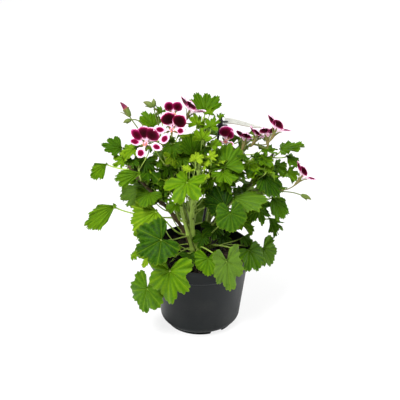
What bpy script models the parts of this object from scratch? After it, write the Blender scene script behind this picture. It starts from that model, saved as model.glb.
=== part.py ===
"""Potted geranium: a small two-coloured geranium growing in a dark plastic nursery pot.

The frame has +X to the right, +Y away from the front and +Z up. Its origin is on the floor, on the
pot's axis. Every size below is in metres unless its name or its note says millimetres or degrees.
"""

import math

import bmesh
import bpy
import numpy as np
from mathutils import Matrix

# ---------------------------------------------------------------- driving dimensions
MM = 0.001
GAP = 0.0004                # clearance between pieces that touch in the real plant

POT_HEIGHT = 0.095
RIM_RADIUS = 0.060          # outside of the rolled rim band
RIM_BAND_HEIGHT = 0.016
RIM_STEP = 0.0040           # how far the band stands out from the wall below it
SHOULDER_TAPER = 0.134      # inward lean of the wall, metres for each metre down
HEEL_RADIUS = 0.009         # rounded lower edge of the wall
POT_WALL = 0.0014
FOOT_HEIGHT = 0.0035
FOOT_WIDTH = 0.0055
FOOT_NOTCHES = 3
FIRST_NOTCH = -61            # compass of one notch, degrees
NOTCH_WIDTH = 0.013
DRAIN_RADIUS = 0.0042
POT_SIDES = 36

SOIL_DROP = 0.011           # soil surface below the rim at the wall
SOIL_MOUND = 0.005          # how much higher the soil stands in the middle
ROOT_DEPTH = 0.006          # how deep the stems go into the soil

PLANT_REACH = 0.130         # from the axis to the outermost leaf edge
STEM_RADIUS = 0.0026
STEM_SIDES = 6
TWIG_RADIUS = 0.0014        # a stem's radius at its tip
PETIOLE_RADIUS = 0.0009
STALK_POINTS = 6            # sections along a leaf's stalk
BLADE_THICKNESS = 0.0008
PETAL_THICKNESS = 0.0007
PETAL_POINTS = 30           # corners round a flower's outline
BLADE_POINTS = 18           # corners round a leaf's outline, three for each side of its stalk
CALYX_RADIUS = 0.0022
CALYX_LENGTH = 0.009

STAKE_RADIUS = 0.0014
STAKE_DEPTH = 0.030
CLIP_RADIUS = 0.0029
CLIP_HEIGHT = 0.011
# The knob over the clip, as heights above the clip with the radius there.
KNOB = [(0.004, 0.0011), (0.0045, 0.0019), (0.0060, 0.0019), (0.0065, 0.0012)]
CARD_LENGTH = 0.057
CARD_DEPTH = 0.036
CARD_THICKNESS = 0.0007

# The growth tables were drawn up for this reach and this rim, in millimetres.
TABLE_REACH = 0.130
TABLE_RIM = 0.060
GROWTH = PLANT_REACH / TABLE_REACH
SPILL = RIM_RADIUS / TABLE_RIM

# Colours are linear RGB.
POT_BLACK = (0.021, 0.025, 0.029)
SOIL_BROWN = (0.012, 0.009, 0.007)
STEM_GREEN = (0.16, 0.20, 0.05)
LEAF_GREEN = (0.10, 0.22, 0.015)
PETAL_MAROON = (0.20, 0.005, 0.05)
CALYX_GREEN = (0.18, 0.22, 0.06)
STAKE_BLACK = (0.010, 0.010, 0.011)
CARD_WHITE = (0.78, 0.79, 0.74)

# ---------------------------------------------------------------- growth tables
# Places are (x, y, z) in millimetres, with z counted from the plane of the pot's rim.
# A stem is the list of places that its middle line passes through, from the soil up.
STEMS = {
    "stem_main": [
        (-2, -4, None), (-8, -5, 20), (-9, -2, 48), (-3, 0, 80), (0, 5, 108), (3, 12, 140), (4, 16, 156),
    ],
    "stem_left": [(-9, 0, None), (-20, 0, 24), (-34, -3, 48), (-50, -5, 68), (-68, -5, 90), (-80, -4, 106)],
    "stem_right": [(6, -3, None), (13, 2, 26), (30, 8, 48), (52, 16, 66), (68, 22, 86), (84, 25, 108)],
    "stem_front": [(-8, -9, None), (-15, -14, 30), (-21, -20, 60), (-20, -24, 84)],
    "stem_upper_left": [(-6, 6, None), (-16, 6, 34), (-28, 2, 76), (-38, 0, 112), (-43, 0, 136)],
    "stem_upper_right": [(3, 6, None), (12, 12, 34), (24, 16, 74), (42, 20, 104), (58, 22, 122)],
    "stem_back": [(-10, 14, None), (-12, 28, 30), (-8, 46, 66), (2, 58, 96), (8, 62, 112)],
}

# A leaf: stem, share of the way up it, centre of the blade, length from centre to tip, breadth as a
# share of a round blade's, compass and climb of the tip, roll about the tip, half angle of the fan,
# cup, fold. Compass 0 is +X and 90 is +Y, a climb below zero droops, lengths are millimetres, angles
# are degrees, and cup and fold are how far the edge rises or the halves close for each unit of width.
LEAVES = {
    "leaf_front_left": ("stem_front", 0.20, (-32, -77, 13), 38, 0.70, -108, -74, 0, 145, -0.10, 0.0),
    "leaf_low_left": ("stem_left", 0.18, (-60, -49, -27), 30, 0.90, -130, -66, 0, 150, -0.08, 0.0),
    "leaf_dark_left": ("stem_front", 0.45, (-42, -65, 45), 33, 0.90, -165, -26, -42, 145, 0.08, 0.0),
    "leaf_folded_left": ("stem_left", 0.30, (-49, -25, 59), 38, 0.80, -160, -46, -20, 95, 0.0, 0.35),
    "leaf_inner_left": ("stem_left", 0.52, (-57, -13, 76), 20, 0.90, -112, -18, -5, 120, -0.10, 0.0),
    "leaf_far_left": ("stem_left", 0.45, (-97, -10, 58), 40, 0.72, -163, -36, -30, 72, 0.0, -0.30),
    "leaf_high_left": ("stem_left", 0.96, (-104, -5, 108), 23, 0.75, -162, -45, -35, 70, 0.0, -0.25),
    "leaf_side_left": ("stem_left", 0.82, (-67, -28, 107), 29, 0.75, -165, -38, -35, 65, 0.0, -0.20),
    "leaf_top_left": ("stem_left", 0.99, (-89, 16, 119), 22, 0.70, 175, 8, -50, 85, 0.15, 0.0),
    "leaf_grey_left": ("stem_left", 0.62, (-60, 14, 72), 37, 0.72, -172, -8, -25, 90, 0.0, -0.20),
    "leaf_centre": ("stem_front", 0.97, (-14, -42, 103), 29, 0.95, -128, -32, 0, 158, -0.05, 0.0),
    "leaf_funnel": ("stem_main", 0.66, (-8, -6, 120), 25, 0.70, 92, 52, 0, 88, 0.25, 0.0),
    "leaf_crown_top": ("stem_main", 0.96, (5, 20, 162), 22, 1.10, 62, 44, 0, 112, 0.15, 0.0),
    "leaf_bud_side": ("stem_upper_left", 0.90, (-52, 8, 148), 20, 0.85, 140, 42, -10, 100, 0.10, 0.0),
    "leaf_upper_right": ("stem_upper_right", 0.55, (28, -14, 112), 34, 0.75, 82, 50, 0, 118, 0.12, 0.0),
    "leaf_centre_dark": ("stem_right", 0.35, (28, -34, 70), 30, 0.80, 160, 32, -30, 95, 0.05, 0.0),
    "leaf_folded_right": ("stem_right", 0.48, (37, -20, 73), 40, 0.65, -6, 3, 12, 90, 0.0, -0.30),
    "leaf_mid_right": ("stem_right", 0.28, (33, -52, 71), 22, 0.90, -75, -48, 0, 130, -0.08, 0.0),
    "leaf_side_right": ("stem_right", 0.66, (72, 0, 91), 29, 0.80, -32, -42, 10, 92, -0.05, 0.0),
    "leaf_hanging_right": ("stem_right", 0.55, (83, 4, 62), 30, 0.65, -30, -55, 20, 75, 0.0, 0.10),
    "leaf_drooping_right": ("stem_right", 0.16, (75, 15, -10), 25, 0.85, -10, -62, 35, 135, 0.0, 0.15),
    "leaf_rim_right": ("stem_right", 0.20, (56, -22, 8), 28, 0.85, -42, -52, 0, 120, -0.05, 0.0),
    "leaf_front_pale": ("stem_main", 0.18, (29, -72, 22), 33, 0.68, -62, -72, 0, 150, 0.06, 0.0),
    "leaf_front_rim": ("stem_main", 0.14, (9, -63, 21), 19, 0.95, -92, -54, 0, 140, -0.05, 0.0),
    "leaf_high_right": ("stem_right", 0.99, (92, 25, 113), 28, 0.70, -2, 12, 5, 95, 0.10, 0.0),
    "leaf_back_left": ("stem_back", 0.55, (-46, 62, 56), 32, 0.90, 150, -30, 0, 150, -0.05, 0.0),
    "leaf_back_right": ("stem_back", 0.62, (46, 60, 60), 33, 0.90, 40, -40, 0, 150, -0.05, 0.0),
    "leaf_back_high": ("stem_back", 0.97, (20, 60, 117), 25, 0.90, 80, 0, 0, 120, 0.10, 0.0),
    "leaf_back_low": ("stem_back", 0.20, (-8, 74, 12), 32, 0.85, 96, -66, 0, 150, -0.08, 0.0),
    "leaf_back_middle": ("stem_back", 0.60, (-32, 50, 92), 26, 0.85, 140, 8, 0, 120, 0.08, 0.0),
}

# Leaves that hang outside the pot, whose places follow the rim.
SPILLING = {
    "leaf_front_left", "leaf_low_left", "leaf_drooping_right", "leaf_rim_right", "leaf_front_pale",
    "leaf_front_rim", "leaf_back_low",
}

# A flower: stem, share of the way up it, throat, compass and climb of the way that it faces, turn
# of the upper petals about that way, length of the upper petals, length of the lower petals,
# and how far the petals lean forward.
FLOWERS = {
    "flower_left": ("stem_upper_left", 0.93, (-57, -38, 146), -100, 12, 8, 19, 16, 0.25),
    "flower_middle": ("stem_upper_left", 0.97, (-30, -36, 161), -88, 12, -12, 19, 16, 0.25),
    "flower_behind": ("stem_upper_left", 0.995, (-29, -4, 166), -90, 14, 0, 15, 13, 0.35),
    "flower_crown": ("stem_main", 0.90, (-12, 12, 161), -20, 52, 10, 17, 15, 0.70),
    "flower_centre": ("stem_upper_right", 0.80, (29, 20, 124), -92, 18, -6, 17, 9, 0.35),
    "flower_card_side": ("stem_upper_right", 0.985, (75, 13, 132), 140, 62, 0, 14, 11, 0.60),
    "flower_right_top": ("stem_upper_right", 0.96, (84, -8, 147), -12, 50, 10, 17, 14, 0.70),
    "flower_right": ("stem_right", 0.66, (114, 4, 86), -15, 48, 5, 16, 14, 0.70),
}

# A bud: stem, share of the way up it, place of the bud's foot, compass and climb, length, radius.
BUDS = {
    "bud_left": ("stem_upper_left", 0.86, (-76, -5, 164), 152, 52, 19, 2.6),
    "bud_top": ("stem_upper_left", 0.992, (-51, 2, 173), 165, 22, 12, 3.0),
    "bud_right": ("stem_right", 0.63, (115, 5, 65), -10, -22, 13, 2.4),
}

# The label's stake leans from its place in the soil to the foot of the clip.
STAKE_FOOT = (-1, 16)
STAKE_TOP = (22, 27, 137)
CARD_COMPASS = -4
CARD_SLOPES = (-12, -18)    # lean of the card towards the back at its clip and at its far end
CARD_SAG = 0.007            # how much lower the card's far end is


# ---------------------------------------------------------------- scene and materials
def clear_scene():
    """Removes every object that the file starts with."""
    for ob in list(bpy.data.objects):
        bpy.data.objects.remove(ob, do_unlink=True)


def make_material(name, colour, roughness, metallic=0.0):
    """A Principled material with one colour."""
    material = bpy.data.materials.new(name)
    material.use_nodes = True
    shader = material.node_tree.nodes["Principled BSDF"]
    shader.inputs["Base Color"].default_value = (*colour, 1.0)
    shader.inputs["Roughness"].default_value = roughness
    shader.inputs["Metallic"].default_value = metallic
    material.diffuse_color = (*colour, 1.0)
    return material


def add_object(name, vertices, faces, material, smooth_angle=40):
    """Links a new mesh object, its faces pointing out, with smooth shading below the angle."""
    mesh = bpy.data.meshes.new(name)
    mesh.from_pydata([tuple(v) for v in vertices], [], faces)
    bm = bmesh.new()
    bm.from_mesh(mesh)
    bmesh.ops.recalc_face_normals(bm, faces=bm.faces)
    bm.to_mesh(mesh)
    bm.free()
    mesh.shade_smooth()
    mesh.set_sharp_from_angle(angle=math.radians(smooth_angle))
    mesh.materials.append(material)
    ob = bpy.data.objects.new(name, mesh)
    bpy.context.scene.collection.objects.link(ob)
    return ob


def cut(target, cutter):
    """Takes the cutter's shape out of the target with a Boolean."""
    cutter.hide_render = True
    cutter.display_type = "WIRE"
    boolean = target.modifiers.new(cutter.name, "BOOLEAN")
    boolean.operation = "DIFFERENCE"
    boolean.solver = "EXACT"
    boolean.object = cutter


# ---------------------------------------------------------------- skins
def skin(rings):
    """Vertices and faces of a closed skin over a stack of rings.

    Each ring is an array of points. Neighbouring rings have the same number of points, or one has
    a whole number of times as many as the other. The first and last rings are closed with a cap,
    and a ring of one point is a tip.
    """
    vertices = np.concatenate(rings)
    starts = np.cumsum([0] + [len(ring) for ring in rings])
    widths = [np.linalg.norm(ring - ring.mean(axis=0), axis=1).mean() for ring in rings]
    faces = []
    for lower in range(len(rings) - 1):
        upper = lower + 1
        if widths[lower] <= widths[upper]:
            faces += bridge(starts[lower], len(rings[lower]), starts[upper], len(rings[upper]))
        else:
            turned = bridge(starts[upper], len(rings[upper]), starts[lower], len(rings[lower]))
            faces += [face[::-1] for face in turned]
    if len(rings[0]) > 2:
        faces.append(list(range(starts[1] - 1, -1, -1)))
    if len(rings[-1]) > 2:
        faces.append(list(range(starts[-2], starts[-1])))
    return vertices, [[int(i) for i in face] for face in faces]


def bridge(first_a, count_a, first_b, count_b):
    """Triangles between a narrow ring a and a wide ring b, fanned where one has more points.

    Each square of the band is split from a's point to b's next one, so that the two sides of a
    thin blade are split alike and can't cross.
    """
    if count_a > count_b:
        return [face[::-1] for face in bridge(first_b, count_b, first_a, count_a)]
    faces = []
    step = count_b // count_a
    for i in range(count_a):
        corner = first_a + i
        for k in range(step):
            outer = first_b + i * step + k
            following = first_b + (i * step + k + 1) % count_b
            faces.append([corner, following, outer])
        if count_a > 1:
            faces.append([corner, first_a + (i + 1) % count_a, following])
    return faces


def circle(radius, z, sides):
    """A level ring round the Z axis."""
    turn = np.arange(sides) * 2 * math.pi / sides
    return np.stack([radius * np.cos(turn), radius * np.sin(turn), np.full(sides, z)], axis=1)


def smooth_path(points, samples):
    """Points along a smooth curve through the given ones, a Catmull-Rom curve."""
    knots = np.array(points, float)
    padded = np.vstack([2 * knots[0] - knots[1], knots, 2 * knots[-1] - knots[-2]])
    places = np.linspace(0, len(knots) - 1, samples)
    spans = np.minimum(places.astype(int), len(knots) - 2)
    t = (places - spans)[:, None]
    a, b, c, d = (padded[spans + k] for k in range(4))
    return 0.5 * (2 * b + (c - a) * t + (2 * a - 5 * b + 4 * c - d) * t**2 + (3 * b - a - 3 * c + d) * t**3)


def bezier(a, b, c, d, samples):
    """Points along the cubic curve from a to d with the handles b and c."""
    t = np.linspace(0, 1, samples)[:, None]
    return (1 - t) ** 3 * a + 3 * (1 - t) ** 2 * t * b + 3 * (1 - t) * t**2 * c + t**3 * d


def tube_rings(path, radii, sides, side_way=None):
    """Rings square to a path. side_way is the way that each ring's first point looks."""
    tangents = np.gradient(path, axis=0)
    tangents /= np.linalg.norm(tangents, axis=1)[:, None]
    side = np.array(side_way if side_way is not None else (0.3, 1.0, 0.1), float)
    turn = np.arange(sides) * 2 * math.pi / sides
    rings = []
    for point, tangent, radius in zip(path[::-1], tangents[::-1], np.asarray(radii)[::-1]):
        side = side - tangent * side.dot(tangent)
        side /= np.linalg.norm(side)
        other = np.cross(tangent, side)
        rings.append(point + radius * (np.outer(np.cos(turn), side) + np.outer(np.sin(turn), other)))
    return rings[::-1]


def aim(compass, climb):
    """The unit vector with that compass direction and climb, in degrees."""
    level = math.cos(math.radians(climb))
    heading = math.radians(compass)
    return np.array([level * math.cos(heading), level * math.sin(heading), math.sin(math.radians(climb))])


def face_frame(along, roll):
    """Unit vectors (along, across, out): out is the most upward way, turned by roll degrees about along."""
    out = np.array([0.0, 0.0, 1.0]) - along[2] * along
    out /= np.linalg.norm(out)
    turned = math.cos(math.radians(roll)) * out + math.sin(math.radians(roll)) * np.cross(along, out)
    return along, np.cross(turned, along), turned


def place(point, spilling=False):
    """A growth table's place in metres, in the part's frame."""
    x, y, z = point
    spread = SPILL if spilling else GROWTH
    return np.array([x * MM * spread, y * MM * spread, POT_HEIGHT + z * MM * GROWTH])


# ---------------------------------------------------------------- pot and soil
def wall_radius(z):
    """Outer radius of the pot's wall below the rim band."""
    return RIM_RADIUS - RIM_STEP - SHOULDER_TAPER * (POT_HEIGHT - RIM_BAND_HEIGHT - z)


def heel_profile(inset, bottom):
    """(radius, z) points of the rounded lower edge, that far inside the outer wall, from the bottom up."""
    radius = HEEL_RADIUS - inset
    top = wall_radius(bottom + HEEL_RADIUS) - HEEL_RADIUS
    points = []
    for angle in np.radians((-90, -60, -30, 0)):
        points.append((top + radius * math.cos(angle), bottom + inset + radius + radius * math.sin(angle)))
    return points


def inner_profile(clearance):
    """(radius, z) points up the inside of the pot, from the floor's edge to the band, with a clearance."""
    inset = POT_WALL + clearance
    ledge = POT_HEIGHT - RIM_BAND_HEIGHT + POT_WALL + clearance
    points = heel_profile(inset, FOOT_HEIGHT)
    points.append((wall_radius(ledge) - inset, ledge))
    points.append((RIM_RADIUS - inset, ledge + 0.001))
    return points


def make_pot(material):
    """The pot: one turned shell with a rim band, a rounded heel and a foot ring, then its openings."""
    band_foot = POT_HEIGHT - RIM_BAND_HEIGHT
    heel = heel_profile(0, FOOT_HEIGHT)
    foot_outer = heel[0][0] + HEEL_RADIUS * 0.2
    lip = POT_WALL / 3
    foot_inner = foot_outer - FOOT_WIDTH
    outer = [(0.0, FOOT_HEIGHT), (foot_inner, FOOT_HEIGHT), (foot_inner, 0.0), (foot_outer, 0.0)]
    outer += [(heel[0][0] + HEEL_RADIUS * 0.3, FOOT_HEIGHT)] + heel[1:]
    outer += [(wall_radius(band_foot), band_foot), (RIM_RADIUS - lip, band_foot + lip)]
    outer += [(RIM_RADIUS, POT_HEIGHT - lip), (RIM_RADIUS - lip, POT_HEIGHT)]
    inner = [(RIM_RADIUS - POT_WALL + lip, POT_HEIGHT), (RIM_RADIUS - POT_WALL, POT_HEIGHT - lip)]
    inner += inner_profile(0)[::-1]
    inner += [(0.0, FOOT_HEIGHT + POT_WALL)]
    rings = []
    for radius, z in outer + inner:
        rings.append(circle(radius, z, POT_SIDES) if radius > 0 else np.array([[0.0, 0.0, z]]))
    pot = add_object("pot", *skin(rings), material, 35)
    for i in range(FOOT_NOTCHES):
        turn = math.radians(360 * i / FOOT_NOTCHES + FIRST_NOTCH)
        notch = add_box(f"cutter_notch_{i}", (foot_outer, NOTCH_WIDTH, 2 * FOOT_HEIGHT - 0.002), material)
        notch.matrix_world = Matrix.Rotation(turn, 4, "Z") @ Matrix.Translation((foot_outer * 0.9, 0, 0))
        cut(pot, notch)
        drain = add_drum(f"cutter_drain_{i}", DRAIN_RADIUS, 0.02, material)
        drain.matrix_world = Matrix.Rotation(turn, 4, "Z") @ Matrix.Translation((foot_outer * 0.62, 0, 0))
        cut(pot, drain)
    return pot


def add_box(name, sizes, material):
    """A box about the origin."""
    x, y, z = (s / 2 for s in sizes)
    low = np.array([[-x, -y, -z], [x, -y, -z], [x, y, -z], [-x, y, -z]])
    high = low + (0, 0, 2 * z)
    return add_object(name, *skin([low, high]), material)


def add_drum(name, radius, height, material, sides=12):
    """A short upright cylinder about the origin."""
    rings = [circle(radius, -height / 2, sides), circle(radius, height / 2, sides)]
    return add_object(name, *skin(rings), material)


def soil_height(x, y):
    """Height of the soil's surface: a low mound with small hollows and crumbs."""
    share = np.hypot(x, y) / RIM_RADIUS
    lumps = np.sin(170 * x + 1.3) * np.cos(150 * y) + 0.6 * np.sin(330 * x - 210 * y)
    return POT_HEIGHT - SOIL_DROP + SOIL_MOUND * (1 - share**2) + 0.0006 * lumps * (1 - share)


def make_soil(material, holes):
    """The block of potting soil, clear of the pot all round, with a socket for each stem and the stake."""
    floor = FOOT_HEIGHT + POT_WALL + GAP
    rings = [circle(0.004, floor, POT_SIDES)]
    for radius, z in inner_profile(GAP):
        rings.append(circle(radius, z, POT_SIDES))
    edge = RIM_RADIUS - POT_WALL - GAP
    for share in (1.0, 0.75, 0.5, 0.25):
        ring = circle(edge * share, 0, POT_SIDES)
        ring[:, 2] = soil_height(ring[:, 0], ring[:, 1])
        rings.append(ring)
    rings.append(np.array([[0.0, 0.0, soil_height(0.0, 0.0)]]))
    soil = add_object("soil", *skin(rings), material, 60)
    for name, rings in holes.items():
        socket = add_object("cutter_" + name, *skin(rings), material)
        cut(soil, socket)
    return soil


# ---------------------------------------------------------------- stems, leaves, flowers and buds
def stem_path(points, samples=13):
    """The middle line of a stem. A missing height is the soil's surface, less the root depth."""
    knots = []
    for x, y, z in points:
        if z is None:
            ground = soil_height(x * MM, y * MM) - ROOT_DEPTH
            knots.append(np.array([x * MM, y * MM, ground]))
            knots.append(np.array([x * MM, y * MM, ground + 1.7 * ROOT_DEPTH]))
        else:
            knots.append(place((x, y, z)))
    return smooth_path(knots, samples)


def stem_radii(samples):
    """A stem's radius along its length."""
    return np.linspace(STEM_RADIUS, TWIG_RADIUS, samples)


def make_stem(name, path, material):
    """One stem, a tapering tube with a rounded tip."""
    radii = stem_radii(len(path))
    rings = tube_rings(path, radii, STEM_SIDES)
    end = path[-1] + (path[-1] - path[-2]) * 0.1
    rings += [path[-1] + (rings[-1] - path[-1]) * 0.6 + (end - path[-1]) * 0.8]
    return add_object(name, *skin(rings), material)


def joint_on(paths, stem, share, towards):
    """Where a stalk leaves a stem: a point just clear of its skin, the way out, and the way up."""
    path = paths[stem]
    where = share * (len(path) - 1)
    low = min(int(where), len(path) - 2)
    middle = path[low] + (path[low + 1] - path[low]) * (where - low)
    along = path[low + 1] - path[low]
    along /= np.linalg.norm(along)
    way = towards - middle
    way -= along * way.dot(along)
    way /= np.linalg.norm(way)
    radius = STEM_RADIUS + (TWIG_RADIUS - STEM_RADIUS) * share
    return middle + way * (radius + PETIOLE_RADIUS + GAP), way, along


def blade_outline(spread, points):
    """(angle, reach) round a blade from its centre: five rounded lobes and a notch at the stalk."""
    fan = np.linspace(-spread, spread, points - 1)
    share = np.abs(fan) / spread
    lobes = 0.075 * np.cos(np.radians(fan) * 360 * 2.5 / spread)
    reach = (1 - 0.22 * share**2) + lobes - 0.075
    reach[[0, -1]] *= 0.80
    angles = np.radians(np.append(fan, 180))
    return angles, np.append(reach, 0.14)


def blade_lift(along, across, size, cup, fold):
    """Height of the blade's middle surface over its flat plane, from places counted in blade lengths."""
    out = np.hypot(along, across)
    return size * (cup * out**2 + fold * (np.sqrt(across**2 + 0.01) - 0.1) - 0.10 * along * np.abs(along))


def make_leaf(name, row, paths, material):
    """One leaf: a stalk that swells into the underside of a thin lobed blade."""
    stem, share, centre, size, breadth, compass, climb, roll, spread, cup, fold = row
    size *= MM * GROWTH
    middle = place(centre, name in SPILLING)
    along, across, out = face_frame(aim(compass, climb), roll)
    start, way, up = joint_on(paths, stem, share, middle)
    reach = np.linalg.norm(middle - start)
    under = middle - out * BLADE_THICKNESS / 2
    if name in SPILLING:
        rise = start + (way * 0.6 + up * 1.7) * reach * 0.45
        arrival = under - (along * 0.46 + out * 0.02) * reach
    else:
        rise = start + (way * 0.55 + up * 0.35) * reach * 0.5
        arrival = under - out * reach * 0.22
    path = bezier(start, rise, arrival, under, STALK_POINTS)
    rings = tube_rings(path, np.full(STALK_POINTS, PETIOLE_RADIUS), 6, across)[:-1]
    hexagon = np.arange(6) * math.pi / 3
    sprout = np.outer(np.cos(hexagon), -along) - np.outer(np.sin(hexagon), across)
    # The stalk's rings and the blade's rings turn the same way about the stalk, from the notch on.
    rings = [align_ring(ring, point, out * 0.5 - along) for ring, point in zip(rings, path)]
    rings.append(middle - out * (BLADE_THICKNESS / 2 + PETIOLE_RADIUS) + sprout * PETIOLE_RADIUS * 1.1)
    angles, reaches = blade_outline(spread, BLADE_POINTS)
    # The blade's rings start at the notch, behind the stalk.
    angles = np.roll(angles, 1)
    reaches = np.roll(reaches, 1)
    for share_out, side in ((0.52, -1), (1.0, -1), (1.0, 1), (0.52, 1)):
        u = reaches * share_out * np.cos(angles)
        v = reaches * share_out * np.sin(angles) * breadth
        lift = blade_lift(u, v, size, cup, fold) + side * BLADE_THICKNESS / 2
        rings.append(middle + size * (np.outer(u, along) + np.outer(v, across)) + np.outer(lift, out))
    rings.append((middle + out * BLADE_THICKNESS / 2)[None, :])
    return add_object(name, *skin(rings), material, 60)


def align_ring(ring, centre, first_way):
    """The same ring, started at the point that looks most nearly the given way."""
    offsets = ring - centre
    start = int(np.argmax(offsets @ first_way))
    return np.roll(ring, -start, axis=0)


def petal_outline(upper, lower, points):
    """(angle from the top, reach) round a flower: two broad upper petals and three lower ones."""
    angles = np.arange(points) * 2 * math.pi / points
    degrees = (np.degrees(angles) + 180) % 360 - 180
    reach = np.full(points, 0.22 * lower)
    petals = [(-26, 34, upper), (26, 34, upper), (-102, 26, lower), (102, 26, lower), (180, 26, lower)]
    for middle, half, length in petals:
        away = np.abs((degrees - middle + 180) % 360 - 180) / half
        reach = np.maximum(reach, length * np.sqrt(np.clip(1 - away**2, 0, 1)))
    return angles, reach


def make_flower(name, row, paths, petal_material, calyx_material):
    """One flower: a stalk that ends in the calyx, and the five petals joined at the throat."""
    stem, share, throat, compass, climb, turn, upper, lower, lean = row
    middle = place(throat)
    facing = aim(compass, climb)
    _, side, top = face_frame(facing, turn)
    start, way, up = joint_on(paths, stem, share, middle)
    calyx_top = middle - facing * GAP
    calyx_foot = calyx_top - facing * CALYX_LENGTH * GROWTH
    reach = np.linalg.norm(calyx_foot - start)
    rise = start + (way * 0.3 + up * 0.6) * reach * 0.5
    stalk = bezier(start, rise, calyx_foot - facing * reach * 0.3, calyx_foot, 8)
    path = np.vstack([stalk, calyx_foot + (calyx_top - calyx_foot) * np.array([[0.3], [1.0]])])
    radii = np.append(np.full(8, PETIOLE_RADIUS * 0.9), (CALYX_RADIUS * 0.8, CALYX_RADIUS))
    radii[7] = PETIOLE_RADIUS * 1.3
    add_object(name + "_calyx", *skin(tube_rings(path, radii, 6)), calyx_material)
    angles, reaches = petal_outline(upper * MM * GROWTH, lower * MM * GROWTH, PETAL_POINTS)
    throat = CALYX_RADIUS * 0.8
    rings = []
    for share_out, wall in ((0.0, 0), (0.5, 0), (1.0, 0), (1.0, 1), (0.5, 1)):
        span = np.maximum(reaches * share_out, throat if share_out == 0 else 0)
        flat = np.outer(span * np.cos(angles), top) + np.outer(span * np.sin(angles), side)
        height = lean * span * (1 - 0.35 * span / reaches.max()) + wall * PETAL_THICKNESS
        rings.append(middle + flat + np.outer(height, facing))
    rings.append((middle + facing * (lean * throat + PETAL_THICKNESS))[None, :])
    return add_object(name + "_petals", *skin(rings), petal_material, 60)


def make_bud(name, row, paths, material):
    """One bud on its stalk: a thin tube that swells to a pointed spindle."""
    stem, share, foot, compass, climb, length, radius = row
    base = place(foot)
    facing = aim(compass, climb)
    start, way, up = joint_on(paths, stem, share, base)
    reach = np.linalg.norm(base - start)
    stalk = bezier(start, start + (way * 0.4 + up * 0.5) * reach * 0.5, base - facing * reach * 0.3, base, 8)
    body = base + np.outer(np.array([0.25, 0.55, 0.85, 1.0]) * length * MM * GROWTH, facing)
    radii = [PETIOLE_RADIUS * 0.8] * 8 + [radius * MM * share_of for share_of in (0.8, 1.0, 0.6, 0.15)]
    return add_object(name, *skin(tube_rings(np.vstack([stalk, body]), radii, 6)), material)


# ---------------------------------------------------------------- label
def stake_path():
    """The stake's middle line from its tip in the soil to the foot of the clip."""
    x, y = STAKE_FOOT
    ground = np.array([x * MM, y * MM, soil_height(x * MM, y * MM)])
    top = place(STAKE_TOP)
    way = (top - ground) / np.linalg.norm(top - ground)
    return ground - way * STAKE_DEPTH, ground, top, way


def make_stake(material):
    """The label's stake, with the clip and its knob turned on one axis."""
    tip, _, top, way = stake_path()
    points = [tip, tip + way * 0.006, top]
    radii = [STAKE_RADIUS * 0.3, STAKE_RADIUS, STAKE_RADIUS]
    clip_top = CLIP_HEIGHT + 0.001
    turned = [(0.001, CLIP_RADIUS), (CLIP_HEIGHT, CLIP_RADIUS * 0.9), (clip_top, STAKE_RADIUS * 0.8)]
    for height, radius in KNOB:
        turned.append((CLIP_HEIGHT + height, radius))
    for height, radius in turned:
        points.append(top + way * height)
        radii.append(radius)
    return add_object("label_stake", *skin(tube_rings(np.array(points), radii, 8)), material)


def make_card(material):
    """The label's card: a thin sheet that runs sideways from the clip, twisting and sagging a little."""
    _, _, top, way = stake_path()
    corner = top + way * CLIP_HEIGHT * 0.6
    length_way = aim(CARD_COMPASS, 0)
    corner = corner + length_way * (CLIP_RADIUS + GAP)
    rings = []
    for share in np.linspace(0, 1, 8):
        slope = CARD_SLOPES[0] + (CARD_SLOPES[1] - CARD_SLOPES[0]) * share
        back = aim(CARD_COMPASS + 90, slope)
        thick = np.cross(length_way, back) * CARD_THICKNESS
        near = corner + length_way * CARD_LENGTH * share - np.array([0, 0, CARD_SAG * share**1.5])
        width = back * CARD_DEPTH * (1 - 0.25 * share**2)
        rings.append(np.array([near, near + width, near + width + thick, near + thick]))
    return add_object("label_card", *skin(rings), material)


# ---------------------------------------------------------------- the whole plant
def build():
    """Builds every piece."""
    clear_scene()
    pot_plastic = make_material("pot_plastic", POT_BLACK, 0.45)
    soil = make_material("soil", SOIL_BROWN, 0.95)
    stem_skin = make_material("stem_skin", STEM_GREEN, 0.6)
    leaf_skin = make_material("leaf_skin", LEAF_GREEN, 0.5)
    petal_skin = make_material("petal_skin", PETAL_MAROON, 0.6)
    calyx_skin = make_material("calyx_skin", CALYX_GREEN, 0.6)
    stake_plastic = make_material("stake_plastic", STAKE_BLACK, 0.4)
    card_plastic = make_material("card_plastic", CARD_WHITE, 0.35)

    paths = {name: stem_path(points) for name, points in STEMS.items()}
    make_pot(pot_plastic)
    holes = {}
    for name, path in paths.items():
        lower = path[: np.searchsorted(path[:, 2], POT_HEIGHT + ROOT_DEPTH) + 1]
        deep = lower[0] - (lower[1] - lower[0]) / np.linalg.norm(lower[1] - lower[0]) * GAP
        socket_radii = [STEM_RADIUS + 1.5 * GAP] * len(lower)
        holes[name] = tube_rings(np.vstack([deep, lower[1:]]), socket_radii, STEM_SIDES)
    tip, ground, _, way = stake_path()
    socket = np.array([tip - way * GAP, ground + way * 0.01])
    holes["stake"] = tube_rings(socket, [STAKE_RADIUS + 1.5 * GAP] * 2, 8)
    make_soil(soil, holes)
    for name, path in paths.items():
        make_stem(name, path, stem_skin)
    for name, row in LEAVES.items():
        make_leaf(name, row, paths, leaf_skin)
    for name, row in FLOWERS.items():
        make_flower(name, row, paths, petal_skin, calyx_skin)
    for name, row in BUDS.items():
        make_bud(name, row, paths, calyx_skin)
    make_stake(stake_plastic)
    make_card(card_plastic)


build()
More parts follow.
